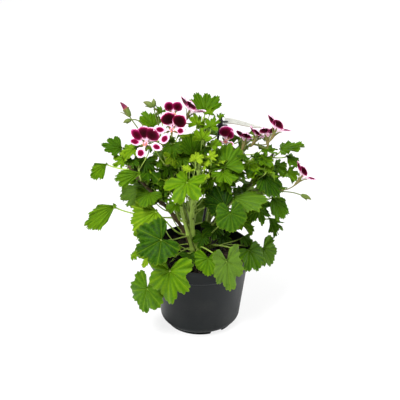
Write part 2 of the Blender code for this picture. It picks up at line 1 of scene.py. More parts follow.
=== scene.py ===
# %% [markdown]
# # A potted geranium
# A small geranium with two-coloured flowers grows in a dark nursery pot, with a label on a stake.
# This lesson dresses a plain solid model of it. The solids give every piece's place and size, and each
# step below makes one kind of piece, or one finish, as fine as the real one.
# The frame is in metres: +X to the right, +Y away from the front, +Z up, with the floor at Z = 0.

# %% Load the solids
import math

import bpy
import numpy as np
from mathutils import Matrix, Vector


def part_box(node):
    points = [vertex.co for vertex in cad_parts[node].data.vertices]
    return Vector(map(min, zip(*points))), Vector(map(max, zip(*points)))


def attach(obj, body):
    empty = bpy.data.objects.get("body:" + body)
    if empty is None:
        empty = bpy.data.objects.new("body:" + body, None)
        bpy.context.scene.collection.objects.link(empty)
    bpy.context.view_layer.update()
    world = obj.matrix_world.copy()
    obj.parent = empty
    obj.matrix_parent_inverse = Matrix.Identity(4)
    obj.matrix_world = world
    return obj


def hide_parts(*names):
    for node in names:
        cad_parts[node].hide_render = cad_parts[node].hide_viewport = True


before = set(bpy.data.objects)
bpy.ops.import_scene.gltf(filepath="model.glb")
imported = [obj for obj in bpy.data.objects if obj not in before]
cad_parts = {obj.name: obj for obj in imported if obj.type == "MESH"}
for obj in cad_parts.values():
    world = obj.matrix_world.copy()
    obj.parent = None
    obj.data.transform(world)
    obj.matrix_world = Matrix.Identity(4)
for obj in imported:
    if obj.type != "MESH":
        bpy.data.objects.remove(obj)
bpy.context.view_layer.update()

# %% [markdown]
# ## The camera, the floor and the light
# The plant stands on a white table in a bright studio. A big soft lamp over the front left gives each
# leaf a light and a shaded side, one straight above lifts the crown, weaker ones edge the pot and the
# leaves from the sides and from behind, and a pale sky fills the rest.
# The camera looks down by about 26 degrees, so that the soil shows over the rim.

# %% Camera
CAMERA_PLACE = (0.0, -0.990, 0.642)
CAMERA_DIP = 26.14          # degrees below level
FOCAL_LENGTH = 87.3         # millimetres, for a sensor 36 mm wide

camera = bpy.data.objects.new("camera", bpy.data.cameras.new("camera"))
camera.location = CAMERA_PLACE
camera.rotation_euler = (math.radians(90 - CAMERA_DIP), 0, 0)
camera.data.sensor_width = 36
camera.data.lens = FOCAL_LENGTH
bpy.context.scene.collection.objects.link(camera)
bpy.context.scene.camera = camera
bpy.context.scene.view_settings.view_transform = "Standard"
print("camera at", CAMERA_PLACE)


# %% Soft lamps
def soft_lamp(name, place, target, size, watts):
    """A square lamp at a place, turned to look at a target point."""
    lamp = bpy.data.objects.new(name, bpy.data.lights.new(name, "AREA"))
    lamp.data.size = size
    lamp.data.energy = watts
    way = np.array(target) - np.array(place)
    climb = math.atan2(way[2], math.hypot(way[0], way[1]))
    lamp.location = place
    lamp.rotation_euler = (math.pi / 2 + climb, 0, math.atan2(way[1], way[0]) - math.pi / 2)
    bpy.context.scene.collection.objects.link(lamp)
    return lamp


PLANT_MIDDLE = (0, 0, 0.17)
POT_MIDDLE = (0, 0, 0.08)
# name: place, what it looks at, side length in metres, watts
LAMPS = {
    "key_lamp": ((-0.6, -0.9, 1.5), PLANT_MIDDLE, 0.5, 41),
    "side_lamp": ((1.5, -0.3, 0.9), PLANT_MIDDLE, 1.0, 5),
    "top_lamp": ((-0.1, -0.35, 1.7), PLANT_MIDDLE, 0.6, 15),
    "right_rim_lamp": ((1.25, 0.40, 0.40), POT_MIDDLE, 0.8, 9),
    "left_rim_lamp": ((-1.30, 0.25, 0.35), POT_MIDDLE, 0.8, 5),
    "back_lamp": ((0.3, 1.3, 1.1), PLANT_MIDDLE, 1.0, 16),
}
for name, settings in LAMPS.items():
    soft_lamp(name, *settings)
print(len(LAMPS), "lamps")

# %% [markdown]
# ## A short way to write a finish
# A finish is a tree of shader nodes. Writing each node and wire out takes many lines, so small helpers
# place a node, do a sum, mix two colours, read a value from the mesh or lay one shader over another.
# Most return the socket that holds their result, so that one can be written inside the next.


# %% Placing nodes and doing sums
def add(tree, kind, inputs=None, **settings):
    """Places a node. Each of its named inputs gets a value, or a wire from another node's socket."""
    made = tree.nodes.new(kind)
    for key, value in settings.items():
        setattr(made, key, value)
    for key, value in (inputs or {}).items():
        if isinstance(value, bpy.types.NodeSocket):
            tree.links.new(value, made.inputs[key])
        else:
            made.inputs[key].default_value = value
    return made


def maths(tree, operation, *values):
    """One sum on one, two or three values."""
    return add(tree, "ShaderNodeMath", dict(enumerate(values)), operation=operation).outputs[0]


def between(tree, value, low, high, start=0.0, end=1.0):
    """A smooth step: start where value is low, end where it is high."""
    inputs = {"Value": value, "From Min": low, "From Max": high, "To Min": start, "To Max": end}
    return add(tree, "ShaderNodeMapRange", inputs, interpolation_type="SMOOTHSTEP").outputs[0]


print("node and sum helpers ready")


# %% Colours, patterns and stored values
def mixed(tree, share, first, second):
    """The first colour, with a share of the second one mixed in."""
    made = add(tree, "ShaderNodeMix", {0: share}, data_type="RGBA")
    for socket, value in ((made.inputs[6], first), (made.inputs[7], second)):
        if isinstance(value, bpy.types.NodeSocket):
            tree.links.new(value, socket)
        else:
            socket.default_value = (*value, 1.0)
    return made.outputs[2]


def ramp(tree, value, stops):
    """A colour from a scale: stops are (place on the scale, colour)."""
    made = add(tree, "ShaderNodeValToRGB", {"Fac": value})
    scale = made.color_ramp.elements
    while len(scale) < len(stops):
        scale.new(0.5)
    for element, (where, colour) in zip(scale, stops):
        element.position = where
        element.color = (*colour, 1.0)
    return made.outputs["Color"]


def noise(tree, scale, detail=3.0, place=None):
    """Cloudy noise, by default on the piece's own coordinates, with scale counted for each metre."""
    where = place or add(tree, "ShaderNodeTexCoord").outputs["Object"]
    made = add(tree, "ShaderNodeTexNoise", {"Vector": where, "Scale": scale, "Detail": detail})
    return made.outputs["Fac"]


def attribute(tree, name, output="Fac"):
    """A value that the piece's mesh stores at each of its points."""
    return add(tree, "ShaderNodeAttribute", attribute_name=name).outputs[output]


def own_numbers(tree, name):
    """The three parts, X, Y and Z, of a vector that the piece's mesh stores at each of its points."""
    return add(tree, "ShaderNodeSeparateXYZ", {0: attribute(tree, name, "Vector")}).outputs


print("colour helpers ready")


# %% Finishes
def finish(name, **constants):
    """A new material. Returns it with its tree and its shader, whose named sockets get constants."""
    material = bpy.data.materials.new(name)
    material.use_nodes = True
    tree = material.node_tree
    shader = tree.nodes["Principled BSDF"]
    for socket, value in constants.items():
        shader.inputs[socket.replace("_", " ").title().replace("Ior", "IOR")].default_value = value
    return material, tree, shader


def wire(tree, shader, colour, roughness=None, height=None, depth=0.001, strength=0.6):
    """Joins a colour, a roughness and a surface height in metres to the shader."""
    tree.links.new(colour, shader.inputs["Base Color"])
    if roughness is not None:
        tree.links.new(roughness, shader.inputs["Roughness"])
    if height is not None:
        bump = add(tree, "ShaderNodeBump", {"Height": height, "Distance": depth, "Strength": strength})
        tree.links.new(bump.outputs["Normal"], shader.inputs["Normal"])


def blend(tree, shader, second, share):
    """Puts a share of a second shader over the first one at the material's output."""
    both = add(tree, "ShaderNodeMixShader", {0: share, 1: shader.outputs[0], 2: second})
    tree.links.new(both.outputs[0], tree.nodes["Material Output"].inputs["Surface"])


def let_through(tree, shader, colour, share):
    """Makes a thin skin glow where light falls on its far side: a share of translucent shader."""
    through = add(tree, "ShaderNodeBsdfTranslucent", {"Color": colour})
    blend(tree, shader, through.outputs[0], share)


print("finish helpers ready")

# %% [markdown]
# ## Effects that several finishes share
# Grown skins are mottled: broad patches where a leaf has more or less green, and fine cells within
# them. Moulded plastic has a fine grain, and some dust and rubbed patches. Each effect is a node
# group, made once, that gives out a mask and a height for the finishes to use in their own way.


# %% Node groups
def group(name, inputs, outputs):
    """An empty node group with named number inputs and outputs; returns (tree, input node, sockets)."""
    tree = bpy.data.node_groups.new(name, "ShaderNodeTree")
    for label, value in inputs.items():
        socket = tree.interface.new_socket(label, in_out="INPUT", socket_type="NodeSocketFloat")
        socket.default_value = value
    for label in outputs:
        tree.interface.new_socket(label, in_out="OUTPUT", socket_type="NodeSocketFloat")
    return tree, tree.nodes.new("NodeGroupInput").outputs, tree.nodes.new("NodeGroupOutput").inputs


def make_grown_mottle():
    """Broad patches plus fine cells: mask = 0.65 of the broad noise + 0.35 of the fine one."""
    tree, given, result = group("grown_mottle", {"Patch": 140.0, "Cell": 1100.0}, ["Mask", "Height"])
    broad = noise(tree, given["Patch"], 4.0)
    fine = noise(tree, given["Cell"], 2.0)
    mask = maths(tree, "MULTIPLY_ADD", broad, 0.65, maths(tree, "MULTIPLY", fine, 0.35))
    tree.links.new(mask, result["Mask"])
    tree.links.new(fine, result["Height"])
    return tree


def make_moulded_grain():
    """A fine even grain for the height, and a mask of dust that lies in broad uneven patches."""
    tree, given, result = group("moulded_grain", {"Grain": 2600.0, "Patch": 26.0}, ["Dust", "Height"])
    patches = noise(tree, given["Patch"], 6.0)
    grain = noise(tree, given["Grain"], 2.0)
    speckled = maths(tree, "MULTIPLY", between(tree, patches, 0.42, 0.75), between(tree, grain, 0.3, 0.7))
    tree.links.new(speckled, result["Dust"])
    tree.links.new(grain, result["Height"])
    return tree


def shared(tree, node_group, **values):
    """Places a shared effect in a finish, with its own values; returns its outputs."""
    return add(tree, "ShaderNodeGroup", values, node_tree=node_group).outputs


grown_mottle = make_grown_mottle()
moulded_grain = make_moulded_grain()
print("groups:", grown_mottle.name, moulded_grain.name)

# %% [markdown]
# ## Sky and floor
# A product is shown on a white sweep that is lit so brightly that it has no horizon. Here the sky has
# two strengths, one for its light and one for what the camera sees of it, and the floor takes shadows
# but is seen mostly as plain white. Neither is part of the plant.


# %% Sky
def light_the_sky(fill, seen):
    """A white sky: one strength lights the scene, and the camera sees another one behind it."""
    world = bpy.data.worlds.new("studio")
    world.use_nodes = True
    tree = world.node_tree
    sky = tree.nodes["Background"]
    behind = add(tree, "ShaderNodeBackground", {"Color": (1, 1, 1, 1), "Strength": seen})
    sky.inputs["Color"].default_value = (1, 1, 1, 1)
    sky.inputs["Strength"].default_value = fill
    looked_at = add(tree, "ShaderNodeLightPath").outputs["Is Camera Ray"]
    both = add(tree, "ShaderNodeMixShader", {0: looked_at, 1: sky.outputs[0], 2: behind.outputs[0]})
    tree.links.new(both.outputs[0], tree.nodes["World Output"].inputs["Surface"])
    bpy.context.scene.world = world


light_the_sky(fill=0.27, seen=1.0)
print("sky ready")


# %% Floor
def make_floor_white(glow):
    """Matt white with faint clouds. The camera sees a share of it as a plain white glow instead."""
    material, tree, shader = finish("floor_white", roughness=0.9, specular_ior_level=0.1)
    cloud = between(tree, noise(tree, 3.0), 0.3, 0.7, 0.955, 0.965)
    tint = add(tree, "ShaderNodeCombineColor", {"Red": cloud, "Green": cloud, "Blue": cloud})
    wire(tree, shader, tint.outputs[0])
    white = add(tree, "ShaderNodeEmission", {"Color": (1, 1, 1, 1), "Strength": 1.0})
    share = maths(tree, "MULTIPLY", add(tree, "ShaderNodeLightPath").outputs["Is Camera Ray"], glow)
    blend(tree, shader, white.outputs[0], share)
    return material


FLOOR_HALF = 8
corners = [(x * FLOOR_HALF, y * FLOOR_HALF, 0) for x, y in ((-1, -1), (1, -1), (1, 1), (-1, 1))]
floor_mesh = bpy.data.meshes.new("floor")
floor_mesh.from_pydata(corners, [], [(0, 1, 2, 3)])
floor_mesh.materials.append(make_floor_white(glow=0.82))
floor = bpy.data.objects.new("floor", floor_mesh)
bpy.context.scene.collection.objects.link(floor)
print("floor ready")

# %% [markdown]
# ## Every piece is a grid
# A stem, a leaf blade, a petal and a pot are all skins: rows of points, each row closed round like a
# ring, stacked from one end to the other. So one function can put any of them into a mesh. It works
# on whole arrays: the corner numbers of the grid are an array too, and each face is that array, its
# neighbour to the side and its neighbour above. The first and the last ring are closed with a fan.


# %% Faces of a grid
def shell_faces(rows, columns):
    """Corner numbers of a skin: squares between the rings, and fans to a point at each end."""
    corner = np.arange(rows * columns).reshape(rows, columns)
    beside = np.roll(corner, -1, axis=1)
    squares = np.stack([corner[:-1], beside[:-1], beside[1:], corner[1:]], axis=-1).reshape(-1, 4)
    low = np.full(columns, rows * columns)
    fans = np.vstack([
        np.stack([low, beside[0], corner[0]], axis=-1),
        np.stack([low + 1, corner[-1], beside[-1]], axis=-1),
    ])
    return squares, fans


def volume_of(points, fans, squares):
    """Signed volume inside a closed skin: a sixth of the sum of a . (b x c) over its triangles."""
    triangles = np.vstack([fans, squares[:, [0, 1, 2]], squares[:, [0, 2, 3]]])
    a, b, c = (points[triangles[:, k]] for k in range(3))
    return np.einsum("ij,ij->", a, np.cross(b, c)) / 6


def with_tips(values):
    """A grid's values as one list, and after it the mean of the first ring and of the last one."""
    tips = np.stack([values[0].mean(axis=0), values[-1].mean(axis=0)])
    return np.concatenate([values.reshape((-1,) + values.shape[2:]), tips])


def closed_shell(grid):
    """A grid's points, squares and fans. Where the volume comes out below zero, the faces point
    inwards, and every face is turned round."""
    points = with_tips(grid)
    squares, fans = shell_faces(*grid.shape[:2])
    if volume_of(points - points.mean(axis=0), fans, squares) < 0:
        squares, fans = squares[:, ::-1], fans[:, ::-1]
    return points, squares, fans


print("a grid of 3 rings of 8 has", *map(len, shell_faces(3, 8)), "squares and fan triangles")


# %% Grids into one mesh
def fill_mesh(mesh, points, squares, fans, kinds):
    """Puts whole arrays of points and corner numbers into a mesh, and each face's material number."""
    mesh.vertices.add(len(points))
    mesh.vertices.foreach_set("co", points.astype(np.float32).ravel())
    mesh.loops.add(squares.size + fans.size)
    corners = np.concatenate([squares.ravel(), fans.ravel()])
    mesh.loops.foreach_set("vertex_index", corners.astype(np.int32))
    starts = np.append(np.arange(len(squares)) * 4, squares.size + np.arange(len(fans)) * 3)
    mesh.polygons.add(len(starts))
    mesh.polygons.foreach_set("loop_start", starts.astype(np.int32))
    mesh.polygons.foreach_set("material_index", kinds.astype(np.int32))
    mesh.update(calc_edges=True)


def store(mesh, label, parts):
    """Stores a named number or vector at the mesh's points. Points without a value get zero."""
    width = parts[0][1].shape[1:]
    whole = np.zeros((len(mesh.vertices),) + width)
    for start, values in parts:
        whole[start:start + len(values)] = values
    kind, field = ("FLOAT_VECTOR", "vector") if width else ("FLOAT", "value")
    made = mesh.attributes.new(label, kind, "POINT")
    made.data.foreach_set(field, whole.astype(np.float32).ravel())


def make_piece(name, shells, materials, smooth=60):
    """A mesh object from closed grids.

    Each shell is (grid, material number, values): the grid is rows x columns x 3, and values holds
    named numbers or vectors for each of its points. Edges sharper than smooth degrees stay sharp.
    """
    points, squares, fans, square_kinds, fan_kinds = [], [], [], [], []
    stored = {}
    count = 0
    for grid, kind, values in shells:
        own, four, three = closed_shell(grid)
        points.append(own)
        squares.append(four + count)
        fans.append(three + count)
        square_kinds.append(np.full(len(four), kind))
        fan_kinds.append(np.full(len(three), kind))
        for label, value in values.items():
            value = np.asarray(value, float)
            value = np.broadcast_to(value, grid.shape[:2] + value.shape[2:])
            stored.setdefault(label, []).append((count, with_tips(value)))
        count += len(own)
    mesh = bpy.data.meshes.new(name)
    kinds = np.concatenate(square_kinds + fan_kinds)
    fill_mesh(mesh, np.vstack(points), np.vstack(squares), np.vstack(fans), kinds)
    for label, parts in stored.items():
        store(mesh, label, parts)
    for material in materials:
        mesh.materials.append(material)
    mesh.shade_smooth()
    mesh.set_sharp_from_angle(angle=math.radians(smooth))
    piece = bpy.data.objects.new(name, mesh)
    bpy.context.scene.collection.objects.link(piece)
    return piece


def stand_in(piece, slot, *nodes):
    """Makes a piece move with the plant, under the root body, and hides these solids, which it stands in
    for.
    """
    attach(piece, "root")
    if nodes:
        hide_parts(*nodes)
    return piece


print("mesh helpers ready")


# %% Curves
def along_curve(points, samples):
    """Points along the smooth curve through the given ones, a Catmull-Rom curve."""
    knots = np.array(points, float)
    padded = np.vstack([2 * knots[0] - knots[1], knots, 2 * knots[-1] - knots[-2]])
    places = np.linspace(0, len(knots) - 1, samples)
    spans = np.minimum(places.astype(int), len(knots) - 2)
    t = (places - spans)[:, None]
    a, b, c, d = (padded[spans + k] for k in range(4))
    return 0.5 * (2 * b + (c - a) * t + (2 * a - 5 * b + 4 * c - d) * t**2 + (3 * b - a - 3 * c + d) * t**3)


def bezier(a, b, c, d, samples):
    """Points along the cubic curve from a to d with the handles b and c."""
    t = np.linspace(0, 1, samples)[:, None]
    return (1 - t) ** 3 * a + 3 * (1 - t) ** 2 * t * b + 3 * (1 - t) * t**2 * c + t**3 * d


def unit(vectors):
    """The same vectors with a length of one."""
    return vectors / np.maximum(np.linalg.norm(vectors, axis=-1, keepdims=True), 1e-12)


print("curve helpers ready")


# %% Tubes, sheets and turned shapes
def tube(path, radii, sides, first_way=(0.3, 1.0, 0.1)):
    """A grid of rings square to a path: centre + radius x (cos turn x side + sin turn x other).

    The side way is carried along the path, each time made square to it, so the tube doesn't twist.
    """
    tangents = unit(np.gradient(path, axis=0))
    side = np.array(first_way, float)
    sideways = []
    for tangent in tangents:
        side = unit(side - tangent * side.dot(tangent))
        sideways.append(side)
    sideways = np.array(sideways)
    other = np.cross(tangents, sideways)
    turn = np.arange(sides) * 2 * math.pi / sides
    radii = np.broadcast_to(np.asarray(radii, float).reshape(len(path), -1), (len(path), sides))
    ring = np.cos(turn)[None, :, None] * sideways[:, None] + np.sin(turn)[None, :, None] * other[:, None]
    return path[:, None] + radii[..., None] * ring


def thick_sheet(surface, thickness):
    """A closed grid round a thin surface: its face, moved half a thickness out, then back along its
    other face. The thickness may be a number or an array over the surface."""
    down, sideways = np.gradient(surface, axis=(0, 1))
    normal = unit(np.cross(down, sideways))
    half = np.broadcast_to(np.asarray(thickness, float) / 2, surface.shape[:2])[..., None]
    return np.concatenate([surface + normal * half, (surface - normal * half)[:, ::-1]], axis=1)


def both_faces(value):
    """A value over a thin surface, repeated for the sheet's two faces."""
    return np.concatenate([value, value[:, ::-1]], axis=1)


def turned(profile, sides):
    """A grid from a profile of (radius, height) points, carried round the Z axis."""
    profile = np.array(profile, float)
    turn = np.arange(sides) * 2 * math.pi / sides
    across = profile[:, 0][:, None]
    level = np.repeat(profile[:, 1][:, None], sides, axis=1)
    return np.stack([across * np.cos(turn), across * np.sin(turn), level], axis=-1)


def waves(x, y, seed, count=9, low=60.0, high=420.0):
    """A smooth random height field: the mean of count sine waves, each with its own way, length
    and start. Low and high are the waves' least and greatest number of radians for each metre."""
    rng = np.random.default_rng(seed)
    ways = rng.uniform(0, 2 * math.pi, count)
    pace = rng.uniform(low, high, count)
    start = rng.uniform(0, 2 * math.pi, count)
    phase = (np.multiply.outer(x, np.cos(ways)) + np.multiply.outer(y, np.sin(ways))) * pace + start
    return np.sin(phase).mean(axis=-1)


print("shape helpers ready")

# %% [markdown]
# ## The nursery pot
# The pot is injection moulded in thin dark plastic: a rim band that stands out from the wall, a wall
# that narrows downwards, a rounded heel, and a foot ring with notches that lets water out. A turned
# profile gives all of it, because a mould for it is turned too. Only the foot's notches break the
# turning, so they are a formula: near each notch the foot's lowest points are lifted, smoothly. The
# drain holes are cut with a Boolean, since a hole would need its own place in the grid otherwise.

# %% Pot sizes
MM = 0.001
pot_low, pot_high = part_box("pot")
POT_HEIGHT = pot_high.z
RIM_RADIUS = (pot_high.x - pot_low.x) / 2
RIM_BAND = 0.016
RIM_STEP = 0.0040           # how far the band stands out from the wall
WALL_TAPER = 0.134          # inward lean, metres for each metre down
HEEL_RADIUS = 0.009
POT_WALL = 0.0014
FOOT_HEIGHT = 0.0035
FOOT_WIDTH = 0.0055
FOOT_FILLET = 0.0006
BAND_FILLET = 0.0012
LIP_RADIUS = 0.0007
FOOT_NOTCHES = 3
FIRST_NOTCH = -61           # compass of one notch, degrees
NOTCH_WIDTH = 0.013
NOTCH_SLOPE = 0.0012
DRAIN_RADIUS = 0.0042
DRAIN_OUT = 0.0235          # how far from the pot's middle each drain hole is
POT_SIDES = 288
print("pot", round(RIM_RADIUS * 2, 4), "m across and", round(POT_HEIGHT, 4), "m high")


def wall_radius(z):
    """Outer radius of the wall below the band: it shrinks by the taper for each metre down."""
    return RIM_RADIUS - RIM_STEP - WALL_TAPER * (POT_HEIGHT - RIM_BAND - z)


def arc(centre, radius, start, end, count=7):
    """Profile points on a circle's arc, between two angles in degrees."""
    turn = np.radians(np.linspace(start, end, count))
    return [(centre[0] + radius * math.cos(t), centre[1] + radius * math.sin(t)) for t in turn]


# %% Pot shape
def pot_profile():
    """(radius, height) points: out along the base, round foot and heel, up, over the rim and in."""
    heel_middle = (wall_radius(FOOT_HEIGHT + HEEL_RADIUS) - HEEL_RADIUS, FOOT_HEIGHT + HEEL_RADIUS)
    foot_out = heel_middle[0] + HEEL_RADIUS * 0.2
    foot_in = foot_out - FOOT_WIDTH
    band = POT_HEIGHT - RIM_BAND
    points = [(r, FOOT_HEIGHT) for r in np.linspace(0.002, foot_in - FOOT_FILLET, 8)]
    points += [(foot_in, FOOT_HEIGHT - FOOT_FILLET), (foot_in, FOOT_FILLET)]
    points += arc((foot_in + FOOT_FILLET, FOOT_FILLET), FOOT_FILLET, 180, 270, 3)
    points += arc((foot_out - FOOT_FILLET, FOOT_FILLET), FOOT_FILLET, 270, 360, 3)
    points += [(foot_out, FOOT_HEIGHT * 0.7)]
    points += arc(heel_middle, HEEL_RADIUS, -72, 0, 12)
    for z in np.linspace(FOOT_HEIGHT + HEEL_RADIUS + 0.002, band - BAND_FILLET, 26):
        points.append((wall_radius(z), z))
    points += [(wall_radius(band) + 0.0006, band - 0.0002), (RIM_RADIUS - BAND_FILLET, band + 0.0001)]
    points += arc((RIM_RADIUS - BAND_FILLET, band + BAND_FILLET), BAND_FILLET, -80, 0, 5)
    points += [(RIM_RADIUS - 0.0002, band + 0.005), (RIM_RADIUS - 0.0002, POT_HEIGHT - 0.004)]
    points += arc((RIM_RADIUS - LIP_RADIUS, POT_HEIGHT - LIP_RADIUS), LIP_RADIUS, 0, 180, 9)
    inside = RIM_RADIUS - POT_WALL
    points += [(inside, POT_HEIGHT - 0.003), (inside, band + POT_WALL + 0.001)]
    points += [(wall_radius(band) - POT_WALL, band + POT_WALL)]
    for z in np.linspace(band - 0.004, FOOT_HEIGHT + HEEL_RADIUS, 8):
        points.append((wall_radius(z) - POT_WALL, z))
    points += arc(heel_middle, HEEL_RADIUS - POT_WALL, 0, -90, 7)
    points += [(r, FOOT_HEIGHT + POT_WALL) for r in np.linspace(heel_middle[0] - 0.003, 0.002, 4)]
    return points


def notch_the_foot(grid):
    """Lifts the foot ring at its notches. Each point's height becomes a mix of its own height and the
    foot's top, by a smooth step of its distance along the ring from the nearest notch's middle."""
    x, y, z = (grid[..., k] for k in range(3))
    radius = np.hypot(x, y)
    sector = 2 * math.pi / FOOT_NOTCHES
    off = (np.arctan2(y, x) - math.radians(FIRST_NOTCH) + sector / 2) % sector - sector / 2
    reach = np.abs(off) * radius
    lift = np.clip((NOTCH_WIDTH / 2 + NOTCH_SLOPE - reach) / NOTCH_SLOPE, 0, 1)
    lift = lift * lift * (3 - 2 * lift)
    foot = z < FOOT_HEIGHT
    z[foot] += ((FOOT_HEIGHT - z) * 0.86 * lift)[foot]
    return grid


pot_grid = notch_the_foot(turned(pot_profile(), POT_SIDES))
print("pot grid of", pot_grid.shape[0], "rings of", pot_grid.shape[1], "points")

# %% Pot plastic
def make_pot_plastic():
    """Dark blue-grey plastic: fine grain, faint mould streaks round it, and a little dust."""
    material, tree, shader = finish("pot_plastic", roughness=0.42, specular_ior_level=0.12)
    grain = shared(tree, moulded_grain, Grain=2400.0, Patch=34.0)
    place = add(tree, "ShaderNodeSeparateXYZ", {0: add(tree, "ShaderNodeTexCoord").outputs["Object"]})
    level = place.outputs["Z"]
    rings = noise(tree, 900.0, 1.0, add(tree, "ShaderNodeCombineXYZ", {"Z": level}).outputs[0])
    low_down = between(tree, level, 0.0, 0.03, 0.55, 0.0)
    dust = maths(tree, "MULTIPLY", grain["Dust"], maths(tree, "MAXIMUM", low_down, 0.35))
    body = mixed(tree, between(tree, rings, 0.35, 0.65), (0.0040, 0.0058, 0.0064), (0.0060, 0.0078, 0.0086))
    colour = mixed(tree, dust, body, (0.040, 0.039, 0.035))
    rough = maths(tree, "MULTIPLY_ADD", rings, 0.08, maths(tree, "MULTIPLY_ADD", dust, 0.5, 0.34))
    height = maths(tree, "MULTIPLY_ADD", rings, 0.6, grain["Height"])
    wire(tree, shader, colour, rough, height, 0.00006, 0.5)
    return material


pot_plastic = make_pot_plastic()
pot = make_piece("nursery_pot", [(pot_grid, 0, {})], [pot_plastic], 50)
print("pot has", len(pot.data.polygons), "faces before its drain holes")


# %% Drain holes
def drain(piece, count, first, radius, out):
    """Cuts round holes through the base with a Boolean, each on the way to a notch, and applies it."""
    plugs = []
    for i in range(count):
        turn = math.radians(360 * i / count + first)
        middle = np.array([out * math.cos(turn), out * math.sin(turn), 0])
        plug = turned([(radius, -0.002), (radius, 0.010)], 32)
        plugs.append((plug + middle, 0, {}))
    cutter = make_piece("drain_cutter", plugs, [])
    boolean = piece.modifiers.new("drains", "BOOLEAN")
    boolean.operation = "DIFFERENCE"
    boolean.solver = "EXACT"
    boolean.object = cutter
    whole = bpy.data.meshes.new_from_object(piece.evaluated_get(bpy.context.evaluated_depsgraph_get()))
    piece.modifiers.clear()
    piece.data = whole
    bpy.data.objects.remove(cutter)


drain(pot, FOOT_NOTCHES, FIRST_NOTCH, DRAIN_RADIUS, DRAIN_OUT)
stand_in(pot, "pot_plastic", "pot")
print("pot has", len(pot.data.polygons), "faces with", FOOT_NOTCHES, "drain holes")

# %% [markdown]
# ## The potting soil
# Potting soil is dark peat and bark. Its surface is a mound with hollows, covered with crumbs and
# small chips. The mound is a turned grid lifted by random waves, and the crumbs are a few hundred
# small lumps, each a rough ball of a few dozen faces, lying half sunk on it.

# %% Soil sizes
SOIL_DROP = 0.011
SOIL_MOUND = 0.005
ROOT_DEPTH = 0.006
WALL_GAP = 0.0004
ROUGH_DROP = 0.0004         # sinks the rough top, so that only its peaks reach the solid's
SOIL_SIDES = 220


def soil_height(x, y):
    """Height of the soil's mound: highest in the middle, with small hollows that fade to the wall."""
    share = np.hypot(x, y) / RIM_RADIUS
    lumps = np.sin(170 * x + 1.3) * np.cos(150 * y) + 0.6 * np.sin(330 * x - 210 * y)
    return POT_HEIGHT - SOIL_DROP + SOIL_MOUND * (1 - share**2) + 0.0006 * lumps * (1 - share)


def soil_grid():
    """The block of soil: its underside and sides from a profile, then a rough top in rings."""
    edge = RIM_RADIUS - POT_WALL - WALL_GAP
    band = POT_HEIGHT - RIM_BAND
    sides = [(0.004, 0.006), (0.036, 0.006), (wall_radius(0.02) - POT_WALL - WALL_GAP, 0.02)]
    sides += [(wall_radius(band) - POT_WALL - WALL_GAP, band), (edge, band + 0.003)]
    walls = turned(sides, SOIL_SIDES)
    top = turned([(r, 0.0) for r in np.linspace(edge, 0.0006, 74)], SOIL_SIDES)
    x, y = top[..., 0], top[..., 1]
    rough = 0.0026 * waves(x, y, 3, 16, 300, 1300) + 0.0011 * waves(x, y, 4, 20, 1500, 3600)
    top[..., 2] = soil_height(x, y) - ROUGH_DROP + rough
    return np.vstack([walls, top])


print("the soil's middle is", round((POT_HEIGHT - soil_height(0, 0)) / MM, 1), "mm below the rim")


# %% Crumbs
def crumbs(count, seed, low, high, flatness):
    """Small rough lumps on the soil: balls of 6 x 7 points, each stretched, knobbled and turned. Low
    and high bound their size, and flatness bounds their height as a share of it."""
    rng = np.random.default_rng(seed)
    tilts, turns = np.linspace(0.35, math.pi - 0.35, 6), np.arange(7) * 2 * math.pi / 7
    tilt, turn = np.meshgrid(tilts, turns, indexing="ij")
    ball = np.stack([np.sin(tilt) * np.cos(turn), np.sin(tilt) * np.sin(turn), np.cos(tilt)], axis=-1)
    lumps = []
    for _ in range(count):
        out = (RIM_RADIUS - 0.0035) * math.sqrt(rng.uniform(0, 1))
        heading = rng.uniform(0, 2 * math.pi)
        x, y = out * math.cos(heading), out * math.sin(heading)
        stretch = rng.uniform(low, high) * np.array([1, rng.uniform(0.5, 1), rng.uniform(*flatness)])
        spin, _ = np.linalg.qr(rng.normal(size=(3, 3)) + np.eye(3) * 2.0)
        knobs = 1 + rng.uniform(-0.25, 0.25, ball.shape[:2])
        where = np.array([x, y, soil_height(x, y) + stretch[2] * 0.35])
        lump = (ball * knobs[..., None] * stretch) @ spin.T + where
        lumps.append((lump, 0, {"shade": rng.uniform(0, 1)}))
    return lumps


grains = crumbs(420, 11, 0.0006, 0.0019, (0.5, 0.9))
chips = crumbs(110, 12, 0.0016, 0.0036, (0.2, 0.4))
print(len(grains), "grains and", len(chips), "chips of bark")


# %% Soil finish
def make_soil_finish():
    """Damp peat: nearly black, browner on the lumps, with fibres and a rough broken surface."""
    material, tree, shader = finish("potting_soil", roughness=0.95, specular_ior_level=0.2)
    mottle = shared(tree, grown_mottle, Patch=420.0, Cell=2600.0)
    shade = attribute(tree, "shade")
    tint = maths(tree, "ADD", between(tree, mottle["Mask"], 0.3, 0.75), maths(tree, "MULTIPLY", shade, 0.5))
    colour = ramp(tree, tint, [
        (0.0, (0.004, 0.0032, 0.0028)), (0.6, (0.013, 0.009, 0.006)), (1.0, (0.045, 0.028, 0.016)),
    ])
    rough = between(tree, mottle["Mask"], 0.2, 0.8, 0.78, 1.0)
    wire(tree, shader, colour, rough, mottle["Mask"], 0.0009, 0.9)
    return material


potting_soil = make_soil_finish()
soil = make_piece("soil_mound", [(soil_grid(), 0, {"shade": 0.0})], [potting_soil], 180)
stand_in(soil, "soil", "soil")
litter = stand_in(make_piece("soil_crumbs", grains + chips, [potting_soil], 40), "soil")
print("soil:", len(soil.data.polygons), "faces, crumbs:", len(litter.data.polygons), "faces")

# %% [markdown]
# ## How the plant grew
# The solids were grown from short tables, and the fine plant follows the same ones, so each leaf and
# flower lies where its solid is. A stem is the list of places that it passes through. Everything
# else starts on a stem, at a share of the way up it. Places are in millimetres, with heights counted
# from the rim of the pot.

